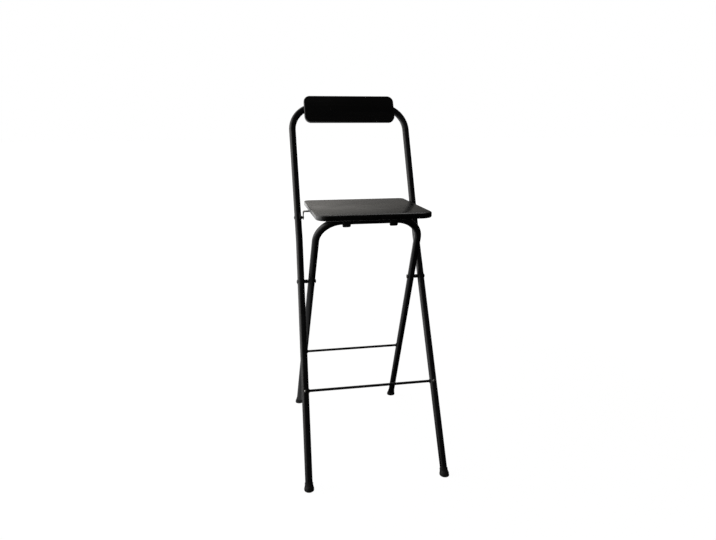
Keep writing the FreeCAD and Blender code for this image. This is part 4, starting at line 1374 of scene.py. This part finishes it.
@dataclass(frozen=True)
class CrossPins:
    """A pin through each leg of the long frame, with a spacer between it and what turns on it."""

    name: str
    node: str
    spacer_node: str
    y: float
    z: float
    outer: float
    inner: float
    head: float
    height: float
    shank: float
    spacer_radius: float
    spacer_outer: float
    spacer_inner: float
    rim_share: float = 0.3
    skirt: float = 1.6
    bite: float = 0.4
    inner_shank: float = 2.0
    inner_share: float = 0.98
    chamfer: float = 0.45
    broken: float = 0.12
    around: int = 48

    def build(self, workshop: Workshop) -> None:
        """Makes the pins and spacers.

        Args:
            workshop: Keeper of the trees.
        """
        rim = self.height * self.rim_share
        reach = self.outer - self.inner - self.skirt + self.bite
        for side, word in SIDES:
            outward = Vector((side, 0.0, 0.0))
            head = Fasteners(f"{self.name}_{word}", Body.BACK, Slot.BLACK_STEEL, self.head, self.skirt,
                             self.height, self.shank, reach)
            head.build(workshop, [(self.spot(side, self.outer - self.skirt), outward, UP)],
                       f"{self.node}_{word}")
            back = Fasteners(f"{self.name}_inner_{word}", Body.BACK, Slot.BLACK_STEEL, self.head, rim,
                             self.height - rim, self.shank * self.inner_share, self.inner_shank)
            back.build(workshop, [(self.spot(side, self.inner), -outward, UP)])
            turn = aimed(self.spot(side, self.spacer_inner), outward, UP)
            piece = mesh_object(f"{self.name}_spacer_{word}", lathe(self.spacer_profile(), turn, self.around))
            workshop.dress(piece, Body.BACK, Slot.PLASTIC, f"{self.spacer_node}_{word}")

    def spot(self, side: int, reach: float) -> Vector:
        """A point on the pin's axis, as far from the middle as reach."""
        return Vector((side * reach, self.y, self.z))

    def spacer_profile(self) -> list[Point2]:
        """Outline of the spacer, chamfered at both ends.

        Returns:
            Radius and height of its points, closed on itself.
        """
        length = self.spacer_outer - self.spacer_inner
        bore, outside, chamfer, broken = self.shank, self.spacer_radius, self.chamfer, self.broken
        return [(bore, 0.0), (outside - chamfer, 0.0), (outside - broken, broken), (outside, chamfer),
                (outside, length - chamfer), (outside - chamfer, length), (bore, length), (bore, 0.0)]


@dataclass(frozen=True)
class Board:
    """A laminated board: two sheets and the rounded edging round them."""

    name: str
    face: str
    back: str
    body: Body
    place: Matrix
    half: float
    depth: float
    front: float
    rear: float
    thickness: float
    edging: float = 3.2
    rounding: float = 3.0
    sheet: float = 0.8
    joint: float = 0.22
    least: float = 0.01
    arc_steps: int = 20
    round_steps: int = 8

    def outline(self, inset: float) -> list[Point2]:
        """The board's outline, moved inwards.

        Args:
            inset: How far.

        Returns:
            Its points, the same count for any inset.
        """
        half, depth = self.half, self.depth
        corners = [((self.front - half, self.front), self.front, 180.0),
                   ((half - self.front, self.front), self.front, 270.0),
                   ((half - self.rear, depth - self.rear), self.rear, 0.0),
                   ((self.rear - half, depth - self.rear), self.rear, 90.0)]
        points: list[Point2] = []
        for middle, radius, start in corners:
            points += arc(middle, max(radius - inset, self.least), start, start + 90.0, self.arc_steps)
        return points

    def ring(self, mesh: bmesh.types.BMesh, inset: float, height: float) -> list[bmesh.types.BMVert]:
        """One ring of points of the board's skin, at an inset from the outline and a height."""
        return [mesh.verts.new(self.place @ Vector((x, y, height))) for x, y in self.outline(inset)]

    def loft(self, sections: Sequence[Point2], closed: bool) -> bmesh.types.BMesh:
        """Skins a board's section all round.

        Args:
            sections: Inset and height of each ring.
            closed: Whether the section closes on itself, or both ends are filled flat.

        Returns:
            The mesh.
        """
        mesh = bmesh.new()
        rings = [self.ring(mesh, inset, height) for inset, height in sections]
        pairs = list(zip(rings, rings[1:]))
        if closed:
            pairs.append((rings[-1], rings[0]))
        for lower, upper in pairs:
            join_rings(mesh, lower, upper)
        if not closed:
            mesh.faces.new(rings[0])
            mesh.faces.new(rings[-1])
        return mesh

    def build(self, workshop: Workshop) -> None:
        """Makes the edging and both sheets.

        Args:
            workshop: Dresses them.
        """
        top, band, bend, gap, steps = self.thickness, self.edging, self.rounding, self.joint, self.round_steps
        section = [(band, 0.0), *arc((bend, bend), bend, 270.0, 180.0, steps),
                   *arc((bend, top - bend), bend, 180.0, 90.0, steps), (band, top)]
        edging = mesh_object(f"{self.name}_edging_band", self.loft(section, True))
        workshop.dress(edging, self.body, Slot.EDGING, f"{self.name}_edging")
        face = [(band, top - self.sheet), (band, top - gap), (band + gap / 3, top - gap / 3),
                (band + gap, top)]
        under = [(band + gap, 0.0), (band, gap), (band, self.sheet)]
        for word, sections, side in (("face", face, self.face), ("underside", under, self.back)):
            piece = mesh_object(f"{self.name}_{word}", self.loft(sections, False))
            workshop.dress(piece, self.body, Slot.LAMINATE, f"{self.name}_{side}_sheet")


@dataclass(frozen=True)
class Brackets:
    """The joggled steel straps that the seat turns on."""

    strap_width: float = 20.0
    thickness: float = 2.2
    bend: float = 3.6
    forward: float = 11.6
    ear_round: float = 7.0
    flange_inner: float = 89.5
    flange_outer: float = 124.0
    step: float = 8.7
    ear_middle: float = 151.45
    softened: float = 0.35
    ear_gap: float = 0.5
    ear_share: float = 0.985
    bend_steps: int = 10
    ear_steps: int = 12
    across: int = 6

    def strip(self) -> list[tuple[float, float, float, float]]:
        """Rows across the strap's middle plane, from its flange down to its round end.

        Returns:
            X, Z, front Y and rear Y of each row, from the pin and the board's underside.
        """
        middle = -self.thickness / 2
        lower = middle - self.step
        drop = BOARD_UNDER - SEAT_PIN_Z
        foot = -(drop - self.ear_gap)
        path = fillet([(self.flange_inner, middle), (self.flange_outer, middle),
                       (self.flange_outer + self.step, lower), (self.ear_middle, lower),
                       (self.ear_middle, foot)],
                      [0.0, self.bend, self.bend, self.bend, 0.0], self.bend_steps)[:-1]
        half = self.strap_width / 2
        rows = [(x, z, -self.forward - half, -self.forward + half) for x, z in path]
        top = path[-1][1] + drop
        front = self.ear_side(-self.forward - half, top)
        rear = self.ear_side(half - self.forward, top)
        rows += [(self.ear_middle, (low[1] + high[1]) / 2 - drop, low[0], high[0])
                 for low, high in zip(front[1:], rear[1:])]
        return rows

    def ear_side(self, y: float, z: float) -> list[Point2]:
        """One side of the ear: straight down to the round end, then round it.

        Args:
            y: Where the side starts, from the pin.
            z: Its height above the pin.

        Returns:
            Y and Z of its points from the pin, at heights both sides share.
        """
        bottom = -self.ear_round * self.ear_share
        turn = math.atan2(z, y) - math.copysign(math.acos(self.ear_round / math.hypot(y, z)), y)
        touch = (self.ear_round * math.cos(turn), self.ear_round * math.sin(turn))
        points = []
        for number in range(2 * self.ear_steps + 1):
            share = number / (2 * self.ear_steps)
            height = z + (bottom - z) * share
            if height > touch[1]:
                part = (z - height) / (z - touch[1])
                points.append((y + (touch[0] - y) * part, height))
            else:
                wide = math.sqrt(max(self.ear_round ** 2 - height ** 2, 0.0))
                points.append((math.copysign(wide, touch[0]), height))
        return points

    def build(self, workshop: Workshop) -> None:
        """Makes both straps.

        Args:
            workshop: Dresses them.
        """
        rows, across = self.strip(), self.across
        for side, word in SIDES:
            mesh = bmesh.new()
            grid = []
            for x, z, front, rear in rows:
                grid.append([mesh.verts.new((side * x, SEAT_PIN_Y + front + (rear - front) * step / across,
                                             BOARD_UNDER + z)) for step in range(across + 1)])
            for first, second in zip(grid, grid[1:]):
                for step in range(across):
                    mesh.faces.new((first[step], first[step + 1], second[step + 1], second[step]))
            piece = mesh_object(f"seat_strap_{word}", mesh)
            piece.modifiers.new("plate", "SOLIDIFY").thickness = self.thickness * MM
            piece.modifiers["plate"].offset = 0.0
            soften(piece, self.softened, segments=2, angle=55.0)
            freeze(piece)
            workshop.dress(piece, Body.SEAT, Slot.PLATED_STEEL, f"seat_bracket_{word}")


@dataclass(frozen=True)
class Clips:
    """The open plastic jaws under the seat that the leg frame's top bar lies in."""

    bar_y: float
    bar_z: float
    half: float = 60.6
    width: float = 21.0
    corner: float = 4.0
    bore: float = 9.85
    bridge: float = 3.1
    wall: float = 3.6
    tilt: float = 27.3
    front_jaw: float = 9.4
    rear_jaw: float = 3.0
    flare: float = 0.5
    shoulder: float = 2.0
    base: float = 5.0
    reach: float = 30.0
    softened: float = 0.5
    piece_length: float = 2.5
    tip_steps: int = 10
    bore_steps: int = 28

    def spot(self, sideways: float, along: float) -> Point2:
        """Y and Z of a point so far in front of the mouth's middle and so far out of the mouth."""
        sine, cosine = math.sin(math.radians(self.tilt)), math.cos(math.radians(self.tilt))
        return along * sine - sideways * cosine, -sideways * sine - along * cosine

    def section(self) -> list[Point2]:
        """The jaw's outline from the side.

        Returns:
            Y and Z of its points.
        """
        bore, wall = self.bore, self.wall
        outer = bore + wall
        drop = bore + self.bridge
        flange = drop - self.base
        sine, cosine = math.sin(math.radians(self.tilt)), math.cos(math.radians(self.tilt))
        front = self.spot(outer, -(self.shoulder + outer * sine) / cosine)[0]
        rear = self.spot(-outer, (outer * sine - flange) / cosine)[0]
        middle, tip = bore + wall / 2, wall / 2
        lip = [self.spot(y, z)
               for y, z in arc((middle, self.front_jaw), tip, 0.0, 180.0, self.tip_steps)]
        hollow = [self.spot(y, -z) for y, z in arc((0.0, 0.0), bore, 0.0, 180.0, self.bore_steps)]
        return [(front, drop), (front, self.shoulder), *lip, *hollow,
                self.spot(-bore - self.flare, self.rear_jaw), self.spot(-outer, self.rear_jaw),
                (rear, flange), (self.reach, flange), (self.reach, drop)]

    def narrowed(self, height: float, lowest: float) -> float:
        """Share of the jaw's width at a height, less near its lowest point.

        Args:
            height: The height.
            lowest: The jaw's lowest point.

        Returns:
            The share.
        """
        centre = lowest + self.corner
        if height >= centre:
            return 1.0
        fall = min(centre - height, self.corner)
        loss = self.corner - math.sqrt(self.corner ** 2 - fall ** 2)
        return 1.0 - 2 * loss / self.width

    def build(self, workshop: Workshop) -> None:
        """Makes both jaws.

        Args:
            workshop: Dresses them.
        """
        outline = []
        section = self.section()
        for here, after in zip(section, [*section[1:], section[0]]):
            count = max(1, round(math.dist(here, after) / self.piece_length))
            outline += [(here[0] + (after[0] - here[0]) * step / count,
                         here[1] + (after[1] - here[1]) * step / count) for step in range(count)]
        lowest = min(z for _, z in section)
        for side, word in SIDES:
            mesh = bmesh.new()
            rings = []
            for end in (-0.5, 0.5):
                rings.append([mesh.verts.new((end * self.width, y, z)) for y, z in outline])
            join_rings(mesh, rings[0], rings[1])
            mesh.faces.new(rings[0])
            mesh.faces.new(rings[1])
            piece = mesh_object(f"clip_jaw_{word}", mesh)
            soften(piece, self.softened, segments=3, angle=40.0)
            freeze(piece)
            for vertex in piece.data.vertices:
                share = self.narrowed(vertex.co.z / MM, lowest)
                vertex.co.x = side * self.half * MM + vertex.co.x * share
                vertex.co.y += self.bar_y * MM
                vertex.co.z += self.bar_z * MM
            shade(piece.data, CRISP_ANGLE)
            workshop.dress(piece, Body.SEAT, Slot.PLASTIC, f"bar_clip_{word}")


def smooth_copy(workshop: Workshop, frame: dict[str, Any], node: str, name: str, body: Body,
                slot: Slot, sharp: float = 30.0) -> None:
    """Replaces a node by its own shape, with its points merged and its curves shaded smooth.

    Args:
        workshop: Dresses it.
        frame: The loaded frame.
        node: The node.
        name: The new piece's name.
        body: Its body.
        slot: Its finish.
        sharp: Edges that bend more than this many degrees stay crisp.
    """
    mesh = bmesh.new()
    mesh.from_mesh(frame["nodes"][node].data)
    bmesh.ops.remove_doubles(mesh, verts=mesh.verts, dist=SAME_POINT)
    bmesh.ops.scale(mesh, vec=(1 / MM, 1 / MM, 1 / MM), verts=mesh.verts)
    workshop.dress(mesh_object(name, mesh, sharp), body, slot, node)


@dataclass(frozen=True)
class LeggedFrame:
    """What both frames share: a bent tube on two feet, with a bar between its legs."""

    legs: Legs
    word: str
    bar_height: float
    tube_start: float

    def build_tubes(self, workshop: Workshop, corners: tuple[Point2, ...], radii: tuple[float, ...]) -> None:
        """Makes the bent tube, from its left half's corners and their radii, and the foot bar."""
        TubeFrame(self.legs, f"{self.word}_tube", self.tube_start, corners, radii).build(workshop)
        FootBar(self.legs, self.bar_height).build(workshop)


@dataclass(frozen=True)
class LongFrame(LeggedFrame):
    """The long frame with its bar, feet, pins and backrest."""

    legs: Legs = Legs(Body.BACK, "front", Slope(-252.8855, 24.1), foot_half=180.2, splay=1.2882)
    word: str = "long"
    bar_height: float = 225.3
    tube_start: float = 7.755
    upright_half: float = 165.5
    knee_along: float = 653.67
    knee_radius: float = 300.0
    bar_along: float = 1045.7
    top_radius: float = 72.0
    rivet_seat: float = 8.3
    scissor_y: float = -33.072
    scissor_z: float = 491.4
    back_drop: float = 16.8
    back_height: float = 79.0
    back_width: float = 261.0
    back_thickness: float = 12.0
    back_corner: float = 18.0
    standoff: float = 1.5
    screw_half: float = 72.0
    screw_seat: float = 10.8

    def build(self, workshop: Workshop, frame: dict[str, Any]) -> None:
        """Makes the whole frame.

        Args:
            workshop: Keeper of the trees.
            frame: The loaded frame.
        """
        upright = -self.upright_half
        self.build_tubes(workshop, ((upright, self.knee_along), (upright, self.bar_along)),
                         (self.knee_radius, self.top_radius))
        along, half = FootBar(self.legs, self.bar_height).place()
        rivets = Fasteners("rest_rivets", Body.BACK, Slot.PLATED_STEEL, head=4.0, rim=1.2, dome=1.8,
                           shank=1.6, length=8.0)
        rivets.build(workshop, self.pair(half, along, self.rivet_seat, 1), "foot_bar_rivets")
        Ferrules(self.legs).build(workshop)
        self.build_pins(workshop)
        self.build_backrest(workshop, frame)

    def pair(self, half: float, along: float, proud: float, facing: int) -> list[Spot]:
        """A place for a fastener at each side of the frame.

        Args:
            half: How far each is from the centre.
            along: Up the slope.
            proud: How far the heads sit from the slope.
            facing: 1 for heads that face forwards, -1 for backwards.

        Returns:
            Both places.
        """
        slope = self.legs.slope
        return [(slope.point(side * half, along, facing * proud), facing * slope.ahead(), slope.up())
                for side, _ in SIDES]

    def build_pins(self, workshop: Workshop) -> None:
        """Makes what the leg frame and the seat turn on.

        Args:
            workshop: Keeper of the trees.
        """
        CrossPins("scissor_pin", "pivot_rivet", "pivot_spacer", self.scissor_y, self.scissor_z,
                  outer=177.59, inner=129.21, head=6.0, height=2.4, shank=3.0, spacer_radius=5.0,
                  spacer_outer=161.5, spacer_inner=149.58).build(workshop)
        CrossPins("seat_hinge_pin", "seat_pin", "seat_pin_spacer", SEAT_PIN_Y, SEAT_PIN_Z,
                  outer=175.0, inner=150.0, head=5.0, height=1.7, shank=3.0, spacer_radius=4.4,
                  spacer_outer=160.0, spacer_inner=152.9).build(workshop)

    def build_backrest(self, workshop: Workshop, frame: dict[str, Any]) -> None:
        """Makes the backrest board and what holds it.

        Args:
            workshop: Keeper of the trees.
            frame: The loaded frame.
        """
        rear = TUBE_RADIUS + self.standoff
        foot = self.legs.slope.point(0.0, self.bar_along - self.back_drop - self.back_height / 2, rear)
        place = aimed(foot, self.legs.slope.ahead(), Vector((1.0, 0.0, 0.0)))
        Board("backrest", "front", "rear", Body.BACK, place, self.back_width / 2, self.back_height,
              self.back_corner, self.back_corner, self.back_thickness).build(workshop)
        workshop.keep(frame, "backrest_core", Slot.CORE)
        smooth_copy(workshop, frame, "backrest_saddles", "backrest_pads", Body.BACK, Slot.PLASTIC)
        bolts = Fasteners("backrest_bolts", Body.BACK, Slot.BLACK_STEEL, head=5.0, rim=0.7, dome=1.9,
                          shank=2.5, length=29.0, recess=Recess.CROSS)
        bolts.build(workshop, self.pair(self.screw_half, self.bar_along, self.screw_seat, -1),
                    "backrest_screws")


@dataclass(frozen=True)
class ShortFrame(LeggedFrame):
    """The leg frame that swings closed, with its bar and feet."""

    legs: Legs = Legs(Body.LEG, "rear", Slope(252.1145, -30.1289), foot_half=157.6, splay=1.8174)
    word: str = "short"
    bar_height: float = 229.9
    tube_start: float = 9.214
    top_half: float = 133.0
    top_along: float = 775.289
    top_radius: float = 66.0

    def build(self, workshop: Workshop) -> None:
        """Makes the whole frame."""
        self.build_tubes(workshop, ((-self.top_half, self.top_along),), (self.top_radius,))
        Ferrules(self.legs).build(workshop)


@dataclass(frozen=True)
class Seat:
    """The seat board with its brackets, clips and screws."""

    half: float = 144.5
    depth: float = 308.0
    front_y: float = -222.686
    thickness: float = 13.5
    front_corner: float = 34.0
    rear_corner: float = 16.0
    strap_y: float = 28.555
    strap_screws: float = 105.85
    screw_pitch: float = 12.0
    bar_y: float = -137.04
    bar_z: float = 670.55
    clip_screws_back: float = 21.5
    clip_pitch: float = 13.0
    cross_turn: Point3 = (0.8, 0.6, 0.0)

    def build(self, workshop: Workshop, frame: dict[str, Any]) -> None:
        """Makes the whole seat.

        Args:
            workshop: Keeper of the trees.
            frame: The loaded frame.
        """
        place = Matrix.Translation(Vector((0.0, self.front_y, BOARD_UNDER)))
        Board("seat", "top", "bottom", Body.SEAT, place, self.half, self.depth, self.front_corner,
              self.rear_corner, self.thickness).build(workshop)
        workshop.keep(frame, "seat_core", Slot.CORE)
        brackets = Brackets()
        brackets.build(workshop)
        clips = Clips(self.bar_y, self.bar_z)
        clips.build(workshop)
        straps = self.screws(self.strap_screws, self.strap_y, 0.0, self.screw_pitch, brackets.thickness)
        jaws = self.screws(clips.half, self.bar_y + self.clip_screws_back, self.clip_pitch, 0.0, clips.base)
        for name, length, spots, node in (("strap_screws", 10.0, straps, "seat_bracket_screws"),
                                          ("clip_screws", 12.0, jaws, "bar_clip_screws")):
            kind = Fasteners(name, Body.SEAT, Slot.PLATED_STEEL, head=3.6, rim=0.5, dome=1.4, shank=1.8,
                             length=length, recess=Recess.CROSS)
            kind.build(workshop, spots, node)

    def screws(self, half: float, y: float, across: float, along: float, below: float) -> list[Spot]:
        """Places of two screws at each side, heads down.

        Args:
            half: How far the middle of each two is from the centre.
            y: Where it is along the seat.
            across: How far apart the two are from side to side.
            along: How far apart they are from front to rear.
            below: What lies between the board and their heads.

        Returns:
            The four places.
        """
        height, turned = BOARD_UNDER - below, Vector(self.cross_turn)
        return [(Vector((side * half + end * across / 2, y + end * along / 2, height)), DOWN, turned)
                for side, _ in SIDES for end, _ in SIDES]


@dataclass(frozen=True)
class Panel:
    """A soft lamp: its place and size in metres, its power, and whether it shows as a glint."""

    name: str
    place: Point3
    power: float
    size: Point2
    glint: bool


@dataclass(frozen=True)
class Studio:
    """Floor, world, lights and camera."""

    camera_at: Point3 = (-0.31108, -1.613857, 0.91020)
    yaw: float = 0.187763
    pitch: float = 0.240061
    roll: float = 0.001787
    lens: float = 30.319
    sensor: float = 36.0
    nearest: float = 0.05
    floor_half: float = 30.0
    floor_dark: Color = (0.26, 0.26, 0.26)
    floor_light: Color = (0.29, 0.29, 0.29)
    floor_gloss: float = 0.85
    white: float = 1.25
    white_far: float = 1.35
    white_share: float = 0.78
    shadow_reach: float = 0.9
    shadow_end: float = 3.6
    white_behind: Span = (0.4, 1.7)
    near_gleam: float = 0.3
    bright_side: Point3 = (-0.85, 0.53, 0.0)
    dark_from: float = -0.1
    bright_from: float = 0.62
    falloff: float = 2.4
    room_dark: float = 0.025
    room_bright: float = 0.76
    room_color: Color = (1.0, 0.965, 0.915)
    full_white: Color = (1.0, 1.0, 1.0)
    aim_height: float = 0.55
    panels: tuple[Panel, ...] = (Panel("main", (-2.0, 0.25, 1.25), 20.0, (2.2, 2.4), True),
                                 Panel("top", (0.1, 1.7, 2.6), 9.0, (2.0, 1.6), True),
                                 Panel("fill", (1.0, -2.8, 1.9), 21.0, (3.0, 2.4), False))

    def build(self) -> None:
        """Makes the whole studio."""
        self.build_camera()
        self.build_floor()
        self.build_world()
        self.build_lights()
        bpy.context.scene.view_settings.view_transform = "Standard"

    def build_camera(self) -> None:
        """Puts the camera at the photograph's viewpoint."""
        data = bpy.data.cameras.new("camera")
        data.lens = self.lens
        data.sensor_width = self.sensor
        data.sensor_fit = "HORIZONTAL"
        data.clip_start = self.nearest
        camera = placed("camera", data)
        level = Vector((math.sin(self.yaw) * math.cos(self.pitch), math.cos(self.yaw) * math.cos(self.pitch),
                        -math.sin(self.pitch)))
        right = Vector((math.cos(self.yaw), -math.sin(self.yaw), 0.0))
        down = level.cross(right)
        across = right * math.cos(self.roll) + down * math.sin(self.roll)
        below = down * math.cos(self.roll) - right * math.sin(self.roll)
        turn = Matrix((across, -below, -level)).transposed().to_4x4()
        camera.matrix_world = Matrix.Translation(Vector(self.camera_at)) @ turn
        bpy.context.scene.camera = camera

    def build_floor(self) -> None:
        """Lays a pale floor that takes a soft shadow."""
        data = bpy.data.meshes.new("floor")
        size = self.floor_half
        data.from_pydata([(-size, -size, 0.0), (size, -size, 0.0), (size, size, 0.0), (-size, size, 0.0)],
                         [], [(0, 1, 2, 3)])
        floor = placed("floor", data)
        made, graph, shader, vector = new_material("floor paint")
        tone = graph.blend(graph.noise(vector, 3.0, 4.0), rgba(self.floor_dark), rgba(self.floor_light))
        graph.link(tone, shader.inputs["Base Color"])
        shader.inputs["Roughness"].default_value = self.floor_gloss
        path = graph.add("ShaderNodeLightPath").outputs
        sweep = self.brightness(graph, vector)
        mirrored = graph.math("MAXIMUM", path["Is Glossy Ray"], path["Is Transmission Ray"])
        behind = graph.ramp(graph.part(vector, 1), *self.white_behind, self.near_gleam, 1.0)
        seen = graph.math("MAXIMUM", graph.product(path["Is Camera Ray"], self.white_share), mirrored)
        away = graph.add("ShaderNodeVectorMath", {0: vector}, operation="LENGTH").outputs["Value"]
        white = graph.ramp(away, self.shadow_reach, self.shadow_end, self.white, self.white_far)
        gleam = graph.product(sweep, behind, self.white_far)
        shown = graph.add("ShaderNodeMapRange", {0: mirrored, 3: white, 4: gleam}).outputs[0]
        glow = graph.add("ShaderNodeEmission", {"Color": rgba(self.full_white), "Strength": shown})
        mixed = graph.add("ShaderNodeMixShader", {0: seen, 1: shader.outputs[0], 2: glow.outputs[0]})
        graph.link(mixed.outputs[0], made.node_tree.nodes["Material Output"].inputs["Surface"])
        data.materials.append(made)
        floor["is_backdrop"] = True

    def brightness(self, graph: Graph, vector: bpy.types.NodeSocket) -> bpy.types.NodeSocket:
        """How bright the studio is in a direction: most at the left rear, least on the other side.

        Args:
            graph: The tree.
            vector: The direction.

        Returns:
            A value from 0 to 1.
        """
        flat = graph.add("ShaderNodeVectorMath", {0: vector}, operation="NORMALIZE").outputs[0]
        facing = graph.add("ShaderNodeVectorMath", {0: flat, 1: self.bright_side},
                           operation="DOT_PRODUCT").outputs["Value"]
        rise = graph.add("ShaderNodeMapRange", {0: facing, 1: self.dark_from, 2: self.bright_from})
        return graph.math("POWER", rise.outputs[0], self.falloff)

    def build_world(self) -> None:
        """Gives the world a soft light from one side and a white background for the camera."""
        world = bpy.data.worlds.new("studio")
        world.use_nodes = True
        bpy.context.scene.world = world
        graph = Graph(world.node_tree)
        back = world.node_tree.nodes["Background"]
        vector = graph.add("ShaderNodeTexCoord").outputs["Generated"]
        share = self.brightness(graph, vector)
        room = graph.add("ShaderNodeMapRange", {0: share, 3: self.room_dark, 4: self.room_bright}).outputs[0]
        seen = graph.add("ShaderNodeLightPath").outputs["Is Camera Ray"]
        strength = graph.add("ShaderNodeMapRange", {0: seen, 3: room, 4: 1.0}).outputs[0]
        graph.link(strength, back.inputs["Strength"])
        color = graph.blend(seen, rgba(self.room_color), rgba(self.full_white))
        graph.link(color, back.inputs["Color"])

    def build_lights(self) -> None:
        """Hangs the soft panels: the main one at the left, a top one, and a fill that leaves no glint."""
        for panel in self.panels:
            data = bpy.data.lights.new(panel.name, "AREA")
            data.energy = panel.power
            data.shape = "RECTANGLE"
            data.size, data.size_y = panel.size
            lamp = placed(panel.name, data)
            lamp.location = panel.place
            lamp.visible_glossy = panel.glint
            towards = Vector((0.0, 0.0, self.aim_height)) - Vector(panel.place)
            lamp.rotation_euler = towards.to_track_quat("-Z", "Y").to_euler()


def corners(box: tuple[Vector, Vector]) -> list[list[float]]:
    """A box as plain lists."""
    return [list(corner) for corner in box]


def main() -> None:
    """Builds the stool and its studio."""
    logging.basicConfig(level=logging.INFO, format="%(name)s: %(message)s")
    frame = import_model()
    cad_box = corners(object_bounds())
    Studio().build()
    workshop = Workshop()
    LongFrame().build(workshop, frame)
    ShortFrame().build(workshop)
    Seat().build(workshop, frame)
    {"cad": cad_box, "visual": corners(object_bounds())}


if __name__ == "__main__":
    main()
